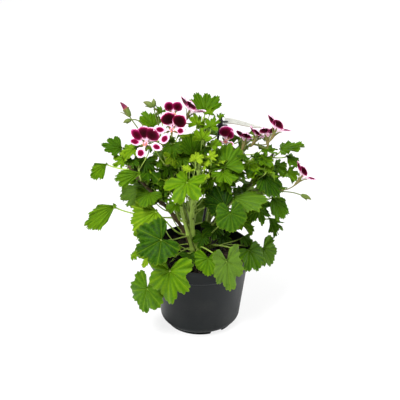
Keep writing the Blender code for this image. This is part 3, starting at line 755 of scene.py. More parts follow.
# %% Stems table
STEM_RADIUS = 0.0026
TWIG_RADIUS = 0.0014
PETIOLE_RADIUS = 0.0009

STEMS = {
    "stem_main": [
        (-2, -4, None), (-8, -5, 20), (-9, -2, 48), (-3, 0, 80), (0, 5, 108), (3, 12, 140), (4, 16, 156),
    ],
    "stem_left": [(-9, 0, None), (-20, 0, 24), (-34, -3, 48), (-50, -5, 68), (-68, -5, 90), (-80, -4, 106)],
    "stem_right": [(6, -3, None), (13, 2, 26), (30, 8, 48), (52, 16, 66), (68, 22, 86), (84, 25, 108)],
    "stem_front": [(-8, -9, None), (-15, -14, 30), (-21, -20, 60), (-20, -24, 84)],
    "stem_upper_left": [(-6, 6, None), (-16, 6, 34), (-28, 2, 76), (-38, 0, 112), (-43, 0, 136)],
    "stem_upper_right": [(3, 6, None), (12, 12, 34), (24, 16, 74), (42, 20, 104), (58, 22, 122)],
    "stem_back": [(-10, 14, None), (-12, 28, 30), (-8, 46, 66), (2, 58, 96), (8, 62, 112)],
}
# How brown and woody each stem is: 0 is pale green, 1 is dark brown. stem_front is set paler than its age,
# as painted light where it lies in shade.
STEM_AGE_AND_LIGHT = {"stem_main": 0.05, "stem_left": 0.95, "stem_right": 0.6, "stem_front": 0.15}
USUAL_AGE = 0.45
STEM_RINGS = 120
STEM_SIDES = 20
print(len(STEMS), "stems")


# %% Stem places
def spot(point):
    """A table's place in metres, in the frame."""
    return np.array([point[0] * MM, point[1] * MM, POT_HEIGHT + point[2] * MM])


def stem_line(points, samples=13):
    """The middle line of a stem. A missing height is the soil's surface, less the root depth."""
    knots = []
    for x, y, z in points:
        if z is None:
            ground = soil_height(x * MM, y * MM) - ROOT_DEPTH
            knots.append(np.array([x * MM, y * MM, ground]))
            knots.append(np.array([x * MM, y * MM, ground + 1.7 * ROOT_DEPTH]))
        else:
            knots.append(spot((x, y, z)))
    return along_curve(knots, samples)


stem_lines = {name: stem_line(points) for name, points in STEMS.items()}


def joint_on(stem, share, towards):
    """Where a stalk leaves a stem: a point at its skin, the way out to a place, and the way up."""
    path = stem_lines[stem]
    where = share * (len(path) - 1)
    low = min(int(where), len(path) - 2)
    middle = path[low] + (path[low + 1] - path[low]) * (where - low)
    up = unit(path[low + 1] - path[low])
    way = towards - middle
    way = unit(way - up * way.dot(up))
    radius = STEM_RADIUS + (TWIG_RADIUS - STEM_RADIUS) * share
    return middle + way * (radius + PETIOLE_RADIUS * 0.2), way, up


def aim(compass, climb):
    """The unit vector with that compass direction and climb, in degrees."""
    level = math.cos(math.radians(climb))
    heading = math.radians(compass)
    return np.array([level * math.cos(heading), level * math.sin(heading), math.sin(math.radians(climb))])


def face_frame(along, roll):
    """Unit ways (along, across, out): out is the most upward way, turned by roll degrees about along."""
    out = unit(np.array([0.0, 0.0, 1.0]) - along[2] * along)
    out = math.cos(math.radians(roll)) * out + math.sin(math.radians(roll)) * np.cross(along, out)
    return along, np.cross(out, along), out


print(len(stem_lines), "stem lines")

# %% [markdown]
# ## Stems
# A geranium's stem is fleshy, ribbed by its leaf joints: it thickens at each joint and carries two
# small papery scales there. The old ones turn brown from below. A tube with many rings takes the
# swellings from a formula: the radius grows by a bell curve near each joint.


# %% Stem skin finish
def make_stem_skin():
    """Pale green skin that ages to brown by its attribute "age", mottled and a little rough."""
    material, tree, shader = finish("stem_skin", roughness=0.55, specular_ior_level=0.2)
    age = attribute(tree, "age")
    mottle = shared(tree, grown_mottle, Patch=260.0, Cell=1500.0)
    aged = maths(tree, "ADD", age, maths(tree, "MULTIPLY_ADD", mottle["Mask"], 0.5, -0.25))
    # The pale green end is brighter than the skin's own green: painted light on the main stem and the pale
    # stalks, which lie in shade.
    colour = ramp(tree, aged, [
        (0.0, (0.36, 0.52, 0.090)), (0.35, (0.20, 0.28, 0.045)), (0.7, (0.085, 0.075, 0.024)),
        (1.0, (0.055, 0.034, 0.016)),
    ])
    rough = between(tree, mottle["Mask"], 0.2, 0.8, 0.45, 0.7)
    wire(tree, shader, colour, rough, mottle["Height"], 0.0003, 0.5)
    return material


stem_skin = make_stem_skin()
print(stem_skin.name, "ready")


# %% Stem shapes
def stem_grid(name, joints):
    """A tapering, five-ribbed tube: radius x (1 + the sum of bells at the joints + a slow wave)."""
    path = stem_line(STEMS[name], STEM_RINGS)
    share = np.linspace(0, 1, STEM_RINGS)
    radii = STEM_RADIUS + (TWIG_RADIUS - STEM_RADIUS) * share
    bells = sum(0.30 * np.exp(-(((share - joint) / 0.016) ** 2)) for joint in joints)
    radii = radii * (1 + bells + 0.05 * np.sin(share * 31))
    radii[-3:] *= (0.9, 0.6, 0.25)
    ribs = 1 + 0.035 * np.cos(5 * np.arange(STEM_SIDES) * 2 * math.pi / STEM_SIDES)
    return tube(path, radii[:, None] * ribs[None, :], STEM_SIDES)


def scale_grid(root, way, up, length, width):
    """A small papery scale: a sheet whose width is a sine of the way along it, bent away at its tip."""
    side = np.cross(up, way)
    u, v = np.meshgrid(np.linspace(0.02, 0.98, 9), np.linspace(-1, 1, 5), indexing="ij")
    spread = width * np.sin(math.pi * u**0.7) * v
    lift = length * (0.25 * u + 0.5 * u**2) + 0.0006 * v**2
    surface = root + spread[..., None] * side + (u * length)[..., None] * up + lift[..., None] * way
    return thick_sheet(surface, 0.0002)


print("stem shapes ready")

# %% [markdown]
# ## Leaves
# The leaf is a fan: it has five rounded lobes, a toothed edge and a notch where its stalk joins. Five
# main ribs run from the stalk to the lobes' tips, with side ribs off them. The skin sinks at the ribs
# and bulges between them, and the edge waves up and down. All of this is a height over two numbers:
# the share across the fan, from -1 to 1, and the share of the way out, from 0 to 1. The lobes and the
# teeth are powers of cosines of the first one. The blade is one closed skin: from the middle of its
# underside out to the edge, and back over its upper side to the middle.

# %% Leaves with solids
# stem, share of the way up it, middle of the blade, length to the tip, breadth, compass and climb of
# the tip, roll about the tip, half angle of the fan, cup, fold (lengths in mm, angles in degrees)
LEAVES = {
    "leaf_front_left": ("stem_front", 0.20, (-33, -77, 13), 38, 0.82, -108, -74, 0, 145, -0.10, 0.0),
    "leaf_low_left": ("stem_left", 0.18, (-60, -49, -27), 30, 0.90, -130, -66, 0, 170, -0.08, 0.0),
    "leaf_dark_left": ("stem_front", 0.45, (-42, -65, 45), 33, 0.90, -165, -26, -42, 145, 0.08, 0.0),
    "leaf_folded_left": ("stem_left", 0.30, (-49, -25, 59), 38, 0.80, -160, -46, -20, 95, 0.0, 0.35),
    "leaf_inner_left": ("stem_left", 0.52, (-57, -13, 76), 20, 0.90, -112, -18, -5, 120, -0.10, 0.0),
    "leaf_far_left": ("stem_left", 0.45, (-97, -10, 58), 42, 0.85, -178, -31, -30, 46, 0.0, -0.25),
    "leaf_high_left": ("stem_left", 0.96, (-104, -5, 108), 24, 0.80, -174, -36, -35, 52, 0.0, -0.25),
    "leaf_side_left": ("stem_left", 0.82, (-67, -28, 107), 28, 0.90, -178, -14, -35, 42, 0.0, -0.20),
    "leaf_top_left": ("stem_left", 0.99, (-89, 16, 119), 22, 0.70, 175, 8, -50, 85, 0.15, 0.0),
    "leaf_grey_left": ("stem_left", 0.62, (-60, 14, 72), 37, 0.66, -172, -22, -18, 76, 0.0, -0.25),
    "leaf_centre": ("stem_front", 0.97, (-14, -42, 103), 29, 0.95, -128, -32, 0, 158, -0.05, 0.0),
    "leaf_funnel": ("stem_main", 0.66, (-8, -6, 120), 25, 0.70, 92, 52, 0, 88, 0.25, 0.0),
    "leaf_crown_top": ("stem_main", 0.96, (5, 20, 160), 23, 1.20, 72, 52, 0, 74, 0.22, 0.0),
    "leaf_bud_side": ("stem_upper_left", 0.90, (-52, 8, 148), 20, 0.85, 140, 42, -10, 100, 0.10, 0.0),
    "leaf_upper_right": ("stem_upper_right", 0.55, (28, -14, 109), 29, 0.90, 82, 42, 0, 118, 0.12, 0.0),
    "leaf_centre_dark": ("stem_right", 0.35, (28, -34, 70), 30, 0.80, 160, 32, -30, 95, 0.05, 0.0),
    "leaf_folded_right": ("stem_right", 0.48, (37, -20, 73), 40, 0.65, -6, 3, 12, 90, 0.0, -0.30),
    "leaf_mid_right": ("stem_right", 0.28, (33, -52, 71), 22, 0.90, -75, -48, 0, 158, -0.08, 0.0),
    "leaf_side_right": ("stem_right", 0.66, (72, 0, 91), 29, 0.80, -32, -42, 10, 92, -0.05, 0.0),
    "leaf_hanging_right": ("stem_right", 0.55, (83, 4, 62), 30, 0.65, -30, -55, 20, 75, 0.0, 0.10),
    "leaf_drooping_right": ("stem_right", 0.16, (75, 15, -10), 25, 0.85, -10, -62, 35, 135, 0.0, 0.15),
    "leaf_rim_right": ("stem_right", 0.20, (56, -22, 8), 28, 0.85, -42, -52, 0, 120, -0.05, 0.0),
    "leaf_front_pale": ("stem_main", 0.18, (29, -72, 22), 33, 0.68, -62, -72, 0, 150, 0.06, 0.0),
    "leaf_front_rim": ("stem_main", 0.14, (9, -63, 21), 19, 0.95, -92, -54, 0, 140, -0.05, 0.0),
    "leaf_high_right": ("stem_right", 0.99, (92, 25, 113), 28, 0.70, -2, 12, 5, 95, 0.10, 0.0),
    "leaf_back_left": ("stem_back", 0.55, (-46, 62, 56), 32, 0.90, 150, -30, 0, 150, -0.05, 0.0),
    "leaf_back_right": ("stem_back", 0.62, (46, 60, 60), 33, 0.90, 40, -40, 0, 150, -0.05, 0.0),
    "leaf_back_high": ("stem_back", 0.97, (20, 60, 117), 25, 0.90, 80, 0, 0, 120, 0.10, 0.0),
    "leaf_back_low": ("stem_back", 0.20, (-8, 74, 12), 32, 0.85, 96, -66, 0, 150, -0.08, 0.0),
    "leaf_back_middle": ("stem_back", 0.60, (-32, 50, 92), 26, 0.85, 140, 8, 0, 120, 0.08, 0.0),
}
print(len(LEAVES), "leaves with solids")

# %% How each leaf looks
# A low freshness also paints shade: leaves that lie deep in the shade are given a dark one.
# freshness (0 dark and old, 1 yellow-green and new), bloom (pale grey down), depth of the lobes, ruffle
LEAF_LOOKS = {
    "leaf_front_left": (0.57, 0.0, 0.55, 0.10), "leaf_low_left": (0.42, 0.05, 0.38, 0.08),
    "leaf_dark_left": (0.15, 0.0, 0.34, 0.10), "leaf_folded_left": (0.75, 0.1, 0.20, 0.09),
    "leaf_inner_left": (0.50, 0.1, 0.25, 0.10), "leaf_far_left": (0.62, 0.1, 0.18, 0.07),
    "leaf_high_left": (0.62, 0.0, 0.22, 0.08), "leaf_side_left": (0.60, 0.1, 0.20, 0.07),
    "leaf_top_left": (0.36, 0.0, 0.42, 0.07), "leaf_grey_left": (0.40, 0.85, 0.40, 0.12),
    "leaf_centre": (0.66, 0.0, 0.85, 0.10), "leaf_funnel": (0.42, 0.0, 0.30, 0.08),
    "leaf_crown_top": (0.48, 0.0, 0.42, 0.08), "leaf_bud_side": (0.58, 0.0, 0.35, 0.10),
    # leaf_centre_dark's near-black tone is painted shade, from the leaves over it.
    "leaf_upper_right": (0.46, 0.15, 0.50, 0.16), "leaf_centre_dark": (0.04, 0.0, 0.25, 0.06),
    "leaf_folded_right": (0.52, 0.45, 0.22, 0.07), "leaf_mid_right": (0.30, 0.1, 0.22, 0.06),
    "leaf_side_right": (0.22, 0.0, 0.30, 0.07), "leaf_hanging_right": (0.40, 0.0, 0.25, 0.06),
    "leaf_drooping_right": (0.42, 0.3, 0.38, 0.06), "leaf_rim_right": (0.42, 0.0, 0.32, 0.08),
    "leaf_front_pale": (0.45, 0.9, 0.42, 0.08), "leaf_front_rim": (0.50, 0.0, 0.25, 0.06),
    "leaf_high_right": (0.52, 0.1, 0.38, 0.10),
}
USUAL_LOOK = (0.40, 0.1, 0.30, 0.08)
print(len(LEAF_LOOKS), "leaves with their own look")

# %% [markdown]
# ## More leaves than solids
# A plain model can hold only so many solids, and a bushy plant has three times as many leaves. So this table
# gives the smaller ones: side shoots, yellow-green leaves at the growing tips, and low ones in the shade,
# whose dark colour is painted shade. They need no breadth or cup of their own, so their rows are shorter.

# %% Extra leaves table
# stem, share of the way up it, middle of the blade, length, compass, climb, roll, half angle, freshness and
# painted shade
EXTRA_LEAVES = {
    "leaf_low_ruffled": ("stem_front", 0.25, (-56, -34, 12), 19, -135, -50, -10, 140, 0.8),
    "leaf_low_bits": ("stem_left", 0.22, (-71, -38, 12), 9, -160, -40, -10, 120, 0.6),
    "leaf_upper_left": ("stem_left", 0.86, (-74, 5, 122), 18, -175, -18, -20, 120, 0.7),
    "leaf_left_cluster": ("stem_left", 0.9, (-85, 8, 110), 16, -150, -25, -20, 130, 0.6),
    "leaf_left_cluster_low": ("stem_left", 0.84, (-75, 2, 110), 12, -100, -40, 0, 130, 0.15),
    "leaf_behind_stalks": ("stem_upper_left", 0.45, (-62, 10, 106), 17, -95, -58, 0, 130, 0.08),
    "leaf_behind_stalks_left": ("stem_upper_left", 0.42, (-72, 14, 95), 13, -140, -45, 0, 120, 0.2),
    "leaf_flower_shade": ("stem_upper_left", 0.6, (-31, 2, 127), 18, -80, -35, 0, 130, 0.3),
    "leaf_flower_shade_low": ("stem_upper_left", 0.55, (-21, -4, 115), 16, -60, -30, 0, 125, 0.45),
    "leaf_behind_flower": ("stem_upper_left", 0.95, (-42, 10, 164), 11, 140, 35, 0, 110, 0.5),
    "leaf_top_small": ("stem_main", 0.93, (10, 14, 160), 9, 60, 50, 0, 110, 0.6),
    "leaf_top_small_right": ("stem_main", 0.9, (21, 16, 155), 8, 20, 30, 0, 110, 0.6),
    "leaf_shoot_left": ("stem_main", 0.8, (-3, 4, 152), 14, 115, 55, 0, 110, 0.7),
    "leaf_shoot_right": ("stem_main", 0.78, (11, 4, 148), 15, 60, 45, 0, 115, 0.6),
    "leaf_shoot_middle": ("stem_main", 0.72, (2, -8, 139), 15, 90, 40, 0, 120, 0.65),
    "leaf_shoot_low": ("stem_main", 0.66, (13, -6, 130), 13, 40, 25, 0, 120, 0.55),
    "leaf_hanging_middle": ("stem_right", 0.45, (66, -10, 58), 22, -65, -58, 0, 120, 0.3),
    "leaf_narrow_hanging": ("stem_right", 0.5, (82, 22, 26), 24, -22, -56, 15, 60, 0.3),
    "leaf_soil_shade": ("stem_front", 0.12, (-12, -44, 14), 16, -90, -55, 0, 130, 0.05),
    "leaf_high_right_low": ("stem_right", 0.97, (99, 22, 106), 19, -12, -30, 20, 70, 0.4),
    "leaf_right_wing": ("stem_right", 0.8, (86, 26, 92), 18, -10, -25, 15, 110, 0.4),
    "leaf_right_wing_low": ("stem_right", 0.76, (100, 20, 87), 18, -20, -35, 15, 110, 0.55),
    "leaf_under_label": ("stem_upper_right", 0.8, (61, 26, 131), 18, 35, -8, 0, 120, 0.55),
    "leaf_right_high": ("stem_upper_right", 0.86, (70, 16, 117), 20, 10, -6, 0, 115, 0.5),
    "leaf_right_middle": ("stem_right", 0.78, (68, 8, 108), 17, -40, -20, 0, 120, 0.5),
    "leaf_centre_low_right": ("stem_right", 0.42, (25, -20, 104), 19, -60, -25, 0, 125, 0.5),
    "leaf_tip_a": ("stem_front", 0.98, (-5, -24, 121), 12, 70, 35, 0, 120, 0.95),
    "leaf_tip_b": ("stem_front", 0.95, (4, -22, 113), 12, 10, 20, 0, 120, 1),
    "leaf_tip_c": ("stem_front", 0.92, (-11, -30, 111), 11, 150, 20, 0, 120, 0.95),
    "leaf_tip_d": ("stem_main", 0.5, (11, -16, 121), 11, 40, 35, 0, 120, 0.9),
    "leaf_tip_e": ("stem_main", 0.46, (1, -26, 102), 11, -60, 5, 0, 120, 1),
    "leaf_tip_f": ("stem_main", 0.52, (19, -12, 112), 12, 5, 15, 0, 120, 0.8),
    "leaf_soil_bright": ("stem_front", 0.3, (-39, -28, 45), 10, 170, 10, 0, 120, 0.85),
    "leaf_soil_bright_low": ("stem_front", 0.16, (-25, -30, 17), 11, -150, -20, 0, 120, 0.7),
    "leaf_left_fill_a": ("stem_left", 0.6, (-66, 14, 84), 16, -150, -20, -10, 120, 0.35),
    "leaf_left_fill_b": ("stem_upper_left", 0.38, (-49, 8, 91), 17, -110, -30, 0, 130, 0.3),
    "leaf_left_fill_c": ("stem_left", 0.42, (-55, 10, 72), 16, -130, -30, 0, 130, 0.25),
    "leaf_left_fill_d": ("stem_upper_left", 0.3, (-41, 0, 81), 15, -80, -35, 0, 130, 0.3),
    "leaf_below_centre": ("stem_front", 0.6, (-27, -22, 66), 14, -120, -20, 0, 120, 0.4),
    # The low dark leaves' colour is painted shade, where the crown shades them.
    "leaf_low_dark_a": ("stem_right", 0.2, (14, 0, 28), 19, -80, -40, 0, 135, 0.1),
    "leaf_low_dark_b": ("stem_main", 0.2, (3, -8, 19), 16, -110, -45, 0, 135, 0.12),
    "leaf_low_dark_c": ("stem_right", 0.16, (26, 6, 10), 15, -60, -45, 0, 130, 0.1),
    "leaf_low_right_strip": ("stem_right", 0.18, (50, -6, 17), 15, -30, -35, 10, 90, 0.2),
    "leaf_gap_one": ("stem_upper_right", 0.35, (14, -8, 92), 17, -100, -20, 10, 130, 0.5),
    "leaf_gap_two": ("stem_upper_right", 0.4, (28, -12, 89), 16, -60, -30, 0, 130, 0.35),
    "leaf_gap_three": ("stem_main", 0.5, (4, -14, 84), 15, -80, -10, 0, 130, 0.6),
    "leaf_gap_four": ("stem_upper_right", 0.5, (40, -6, 99), 15, -40, -20, 0, 130, 0.45),
    "leaf_screen_one": ("stem_main", 0.3, (-35, 30, 85), 20, -100, -52, 0, 140, 0.35),
    "leaf_screen_two": ("stem_main", 0.34, (-19, 34, 81), 20, -80, -48, 10, 140, 0.2),
    "leaf_screen_three": ("stem_main", 0.38, (-26, 32, 94), 18, -90, -45, -15, 140, 0.45),
    "leaf_screen_four": ("stem_main", 0.26, (-12, 34, 68), 18, -70, -50, 0, 140, 0.3),
}
EXTRA_BREADTH = 0.86
print(len(EXTRA_LEAVES), "extra leaves in the table")

# %% [markdown]
# ## Leaf skin
# A geranium's leaf is matt and downy. Its ribs are paler than the skin between them, the skin is mottled,
# old leaves are dark and young ones yellow-green, and the underside is paler. Leaves that lie deep in shade
# are painted dark too, and the pleats get painted light and shade: lighter on their ridges, darker in their
# creases. Light from behind shines through the leaf. The ribs have to follow the blade, so the finish reads
# two numbers that each blade stores at its points: the share across the fan, and the share of the way out.

# %% Leaf skin finish
PLEATS = 15                 # folds that fan out from the stalk across the blade
MAIN_RIBS = 2.5             # half waves of the ribs on each side of the middle one


def make_leaf_skin():
    """Leaf skin on the fan's own two numbers: ribs, side ribs, painted light and shade on the pleats,
    mottle, a thin edge, a paler underside.

    A main rib lies where |sin(2.5 pi share)| is zero, and its width is told from that times the way
    out. The side ribs are chevrons: lines of equal (way out x 5 - distance from the main rib).
    """
    material, tree, shader = finish("leaf_skin", roughness=0.45, specular_ior_level=0.06)
    place = own_numbers(tree, "leaf_place")
    share, out, under = place["X"], place["Y"], place["Z"]
    fresh_and_shade, bloom = attribute(tree, "freshness_and_shade"), attribute(tree, "bloom")
    off_rib = maths(tree, "SINE", maths(tree, "MULTIPLY", share, MAIN_RIBS * math.pi))
    off_rib = maths(tree, "ABSOLUTE", off_rib)
    main_ribs = between(tree, maths(tree, "MULTIPLY", off_rib, out), 0.012, 0.075, 1.0, 0.0)
    slant = maths(tree, "MULTIPLY_ADD", out, 5.0, maths(tree, "MULTIPLY", off_rib, -1.5))
    chevron = maths(tree, "PINGPONG", slant, 0.5)
    side_ribs = between(tree, chevron, 0.0, 0.11, 0.55, 0.0)
    ribs = maths(tree, "MAXIMUM", main_ribs, side_ribs)
    # Painted light and shade of the pleats: the colour follows the cosine of the blade's folds, lighter on
    # each ridge and darker in each crease.
    painted_pleat_shade = maths(tree, "COSINE", maths(tree, "MULTIPLY", share, PLEATS * math.pi))
    painted_pleat_shade = maths(tree, "MULTIPLY", painted_pleat_shade, between(tree, out, 0.12, 0.6))
    mottle = shared(tree, grown_mottle, Patch=170.0, Cell=1500.0)
    uneven = maths(tree, "MULTIPLY_ADD", mottle["Mask"], 0.80, -0.38)
    uneven = maths(tree, "MULTIPLY_ADD", painted_pleat_shade, 0.10, uneven)
    # The dark end of this scale is also painted shade, for the leaves that lie in shade.
    body = ramp(tree, maths(tree, "ADD", fresh_and_shade, uneven), [
        (0.0, (0.005, 0.026, 0.0004)), (0.25, (0.021, 0.074, 0.0006)), (0.55, (0.062, 0.155, 0.0010)),
        (0.8, (0.140, 0.270, 0.0020)), (1.0, (0.290, 0.430, 0.015)),
    ])
    downy = mixed(tree, maths(tree, "MULTIPLY", bloom, 0.75), body, (0.110, 0.200, 0.026))
    sunk = mixed(tree, between(tree, mottle["Mask"], 0.50, 0.68, 0.0, 0.45), downy, (0.012, 0.050, 0.001))
    ribbed = mixed(tree, maths(tree, "MULTIPLY", ribs, 0.34), sunk, (0.19, 0.31, 0.014))
    edged = mixed(tree, between(tree, out, 0.93, 1.0, 0.0, 0.35), ribbed, (0.17, 0.25, 0.012))
    lower = mixed(tree, 0.60, ribbed, (0.120, 0.200, 0.026))
    colour = mixed(tree, under, edged, lower)
    rough = maths(tree, "MULTIPLY_ADD", mottle["Mask"], 0.22, maths(tree, "MULTIPLY_ADD", under, 0.15, 0.34))
    height = maths(tree, "SUBTRACT", maths(tree, "MULTIPLY", mottle["Height"], 0.5), ribs)
    wire(tree, shader, colour, rough, height, 0.00045, 0.8)
    glow = mixed(tree, 0.55, colour, (0.26, 0.42, 0.006))
    let_through(tree, shader, glow, 0.22)
    return material


leaf_skin = make_leaf_skin()
print(leaf_skin.name, "ready")

# %% [markdown]
# ## The blade's shape
# Modelling forty leaves by hand would take days, and copies of one leaf look stamped. So the outline
# and the surface are formulas with a few random numbers in them: each leaf gets its own waves, but
# also the teeth, lobes, pleats and sunken ribs that all of them share.

# %% Blade outline
BLADE_COLUMNS = 134         # points round the blade, with those of the notch
NOTCH_COLUMNS = 8
UPPER_ROWS = 20
UNDER_ROWS = 7
NOTCH_DEPTH = 0.08          # how near the stalk the notch comes, as a share of the length
TOOTH_DEPTH = 0.10
TEETH = 27
BLADE_THICKNESS = 0.00055


def blade_edge(spread, lobing, rng):
    """(angle, share, reach) round a blade. Reach is 1 at the middle lobe, less by 0.22 of the share
    squared, by the lobes' depth between them, and by the teeth; past the fan it drops to the notch."""
    share = np.linspace(-1, 1, BLADE_COLUMNS - NOTCH_COLUMNS)
    lobe = MAIN_RIBS * math.pi * share + 0.12 * np.sin(2 * share + rng.uniform(0, 6))
    lobe = np.abs(np.cos(lobe)) ** 0.75
    tooth = TEETH / 2 * math.pi * share + 0.5 * np.sin(3 * share + rng.uniform(0, 6))
    tooth = np.abs(np.cos(tooth)) ** 0.7
    reach = (1 - 0.22 * share**2) * (1 - 0.62 * lobing * (1 - lobe)) * (1 - TOOTH_DEPTH * (1 - tooth))
    uneven = 1 + 0.05 * np.sin(2.2 * math.pi * share + rng.uniform(0, 6))
    reach *= (1 - 0.30 * np.abs(share) ** 14) * uneven
    back = np.linspace(spread, 360 - spread, NOTCH_COLUMNS + 2)[1:-1]
    angles = np.radians(np.append(share * spread, back))
    shares = np.append(share, np.linspace(1, -1, NOTCH_COLUMNS + 2)[1:-1])
    return angles, shares, np.append(reach, np.full(NOTCH_COLUMNS, NOTCH_DEPTH))


print("blade outline of", BLADE_COLUMNS, "points and", TEETH, "teeth")


# %% Blade surface
def blade_height(u, v, share, out, cup, fold, ruffle, rng):
    """Height over the flat fan, in blade lengths: cup x distance squared + fold x the smoothed
    distance from the middle line - droop along it, then sunk ribs, bulges between them, side ribs
    and an edge ruffle that grows with the cube of the way out."""
    off_rib = np.abs(np.sin(MAIN_RIBS * math.pi * share))
    height = cup * (u**2 + v**2) + fold * (np.sqrt(v**2 + 0.01) - 0.1) - 0.10 * u * np.abs(u)
    height = height - 0.030 * np.exp(-((off_rib * out / 0.07) ** 2)) * (1 - out)
    height = height + 0.085 * out * off_rib**1.4 * (1 - 0.6 * out)
    height = height + 0.006 * off_rib * out * np.cos(2 * math.pi * (5 * out - 1.5 * off_rib))
    height = height + 0.014 * np.cos(PLEATS * math.pi * share) * out**1.3 * (1.35 - out)
    a, b, c = rng.uniform(0, 2 * math.pi, 3)
    height = height + 0.30 * rng.uniform(-1, 1) * u * v + 0.12 * rng.uniform(-1, 1) * v * np.abs(v)
    wave = 0.55 * np.sin(4.6 * math.pi * share + a) + 0.45 * np.sin(8.2 * math.pi * share + b)
    return height + ruffle * out**2.6 * wave + 0.25 * ruffle * out**4 * np.sin(17 * math.pi * share + c)


def blade_grid(middle, ways, length, breadth, spread, cup, fold, looks, rng):
    """The blade's closed skin and its own numbers (share, way out, underside) for the finish."""
    along, across, up = ways
    _, _, lobing, ruffle = looks
    angles, shares, reach = blade_edge(spread, lobing, rng)
    out = np.concatenate([np.linspace(0.07, 1, UNDER_ROWS), np.linspace(1, 0.04, UPPER_ROWS)])
    under = np.concatenate([np.ones(UNDER_ROWS), np.zeros(UPPER_ROWS)])
    out, under = out[:, None], under[:, None]
    u = out * reach * np.cos(angles)
    v = out * reach * np.sin(angles) * breadth
    share = np.broadcast_to(shares, u.shape)
    height = blade_height(u, v, share, out, cup, fold, ruffle, rng) * length
    wall = BLADE_THICKNESS * (1.5 - out) / 2
    ribs = 0.5 * np.exp(-((np.sin(MAIN_RIBS * math.pi * share) * out / 0.06) ** 2)) * (1.15 - out)
    height = height + np.where(under > 0.5, -wall * (1 + 2 * ribs), wall)
    grid = middle + length * (u[..., None] * along + v[..., None] * across) + height[..., None] * up
    own = np.stack([share, np.broadcast_to(out, u.shape), np.broadcast_to(under, u.shape)], axis=-1)
    return grid, own


print("blade grid of", UNDER_ROWS + UPPER_ROWS, "rings")


# %% Whole leaf
STALK_RINGS = 26
STALK_SIDES = 8


def leaf_stalk(joint, middle, up):
    """The stalk's middle line, a cubic curve that leaves the stem outwards and a little upwards, and
    meets the blade's underside square."""
    start, way, rise_way = joint
    reach = np.linalg.norm(middle - start)
    under = middle - up * BLADE_THICKNESS / 2
    rise = start + (way * 0.55 + rise_way * 0.35) * reach * 0.5
    return bezier(start, rise, under - up * reach * 0.22, under, STALK_RINGS)


def leaf_piece(name, row, looks, seed):
    """One leaf: a blade, and a stalk that is thicker at both of its ends."""
    stem, share, centre, length, breadth, compass, climb, roll, spread, cup, fold = row
    rng = np.random.default_rng(seed)
    length = length * MM
    middle = spot(centre)
    ways = face_frame(aim(compass, climb), roll)
    _, across, up = ways
    path = leaf_stalk(joint_on(stem, share, middle), middle, up)
    shares = np.linspace(0, 1, STALK_RINGS)
    slender = min(1.0, 0.45 + length / 0.05)
    ends = 0.45 * np.exp(-shares * 14) + 0.35 * np.exp(-(1 - shares) * 18)
    radii = PETIOLE_RADIUS * slender * (1 + ends - 0.1 * shares)
    blade, own = blade_grid(middle, ways, length, breadth, spread, cup, fold, looks, rng)
    freshness_and_shade, bloom = looks[:2]
    age = 0.05 + 0.35 * (1 - freshness_and_shade)
    shells = [
        (blade, 0, {"leaf_place": own, "freshness_and_shade": freshness_and_shade + rng.uniform(-0.05, 0.05), "bloom": bloom}),
        (tube(path, radii, STALK_SIDES, across), 1, {"age": age}),
    ]
    return make_piece(name, shells, [leaf_skin, stem_skin], 75)


print("leaf maker ready")

# %% [markdown]
# ## Growing the leaves
# Each leaf that has a solid stands for it and takes its name, with "fine_" in front, and the cell
# prints how far the finer leaf's box is from its solid's, as a check. The seed of each leaf's random
# numbers is its own place in the table, so that a change to one leaf leaves the others alone.


# %% Grow the leaves with solids
def box_gap(piece, node):
    """The greatest distance between a piece's box and its solid's box, in millimetres."""
    points = np.array([corner[:] for corner in piece.bound_box])
    low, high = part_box(node)
    return 1000 * max(np.abs(points.min(axis=0) - low).max(), np.abs(points.max(axis=0) - high).max())


LEAF_SEED = 100
gaps = {}
for number, (name, row) in enumerate(LEAVES.items()):
    leaf = leaf_piece("fine_" + name, row, LEAF_LOOKS.get(name, USUAL_LOOK), LEAF_SEED + number)
    stand_in(leaf, "leaf_skin", name)
    gaps[name] = box_gap(leaf, name)
worst = max(gaps, key=gaps.get)
print(len(LEAVES), "leaves; the furthest from its solid is", worst, round(gaps[worst], 1), "mm")


# %% Grow the extra leaves
EXTRA_SEED = 200
EXTRA_BLOOM = 0.05
EXTRA_CUP = 0.05
EXTRA_FOLD = 0.25
EXTRA_LOBING = 0.75


def short_row_leaf(name, row, cup, fold, lobing, ruffle, seed):
    """A leaf from a short row: it gets the usual breadth, and its cup and fold from outside."""
    stem, share, centre, length, compass, climb, roll, spread, freshness_and_shade = row
    whole = (stem, share, centre, length, EXTRA_BREADTH, compass, climb, roll, spread, cup, fold)
    leaf = leaf_piece(name, whole, (freshness_and_shade, EXTRA_BLOOM, lobing, ruffle), seed)
    return stand_in(leaf, "leaf_skin")


# Young leaves are more ruffled. The fold swings from one leaf to the next.
for number, (name, row) in enumerate(EXTRA_LEAVES.items()):
    ruffle = 0.19 if row[-1] > 0.5 else 0.13
    fresher = (*row[:-1], min(1.0, row[-1] + 0.08))
    fold = EXTRA_FOLD * math.sin(1.9 * number)
    short_row_leaf(name, fresher, EXTRA_CUP, fold, EXTRA_LOBING, ruffle, EXTRA_SEED + number)
print(len(EXTRA_LEAVES), "extra leaves")

# %% [markdown]
# ## The inside of the crown and the back
# A crown is full: behind every gap between two leaves there is another leaf. Placing these by hand
# isn't worth the time, since none is seen whole. So they come from a rough grid of columns and
# heights, with random shifts, and those that would fill a real gap or hide a flower are left out.
# The back gets a ring of larger ones in the same way.


# %% Where the inner leaves go
def share_at(stem, height):
    """How far up a stem its middle line passes a height."""
    path = stem_lines[stem]
    return float(np.clip(np.interp(height, path[:, 2], np.linspace(0, 1, len(path))), 0.12, 0.97))


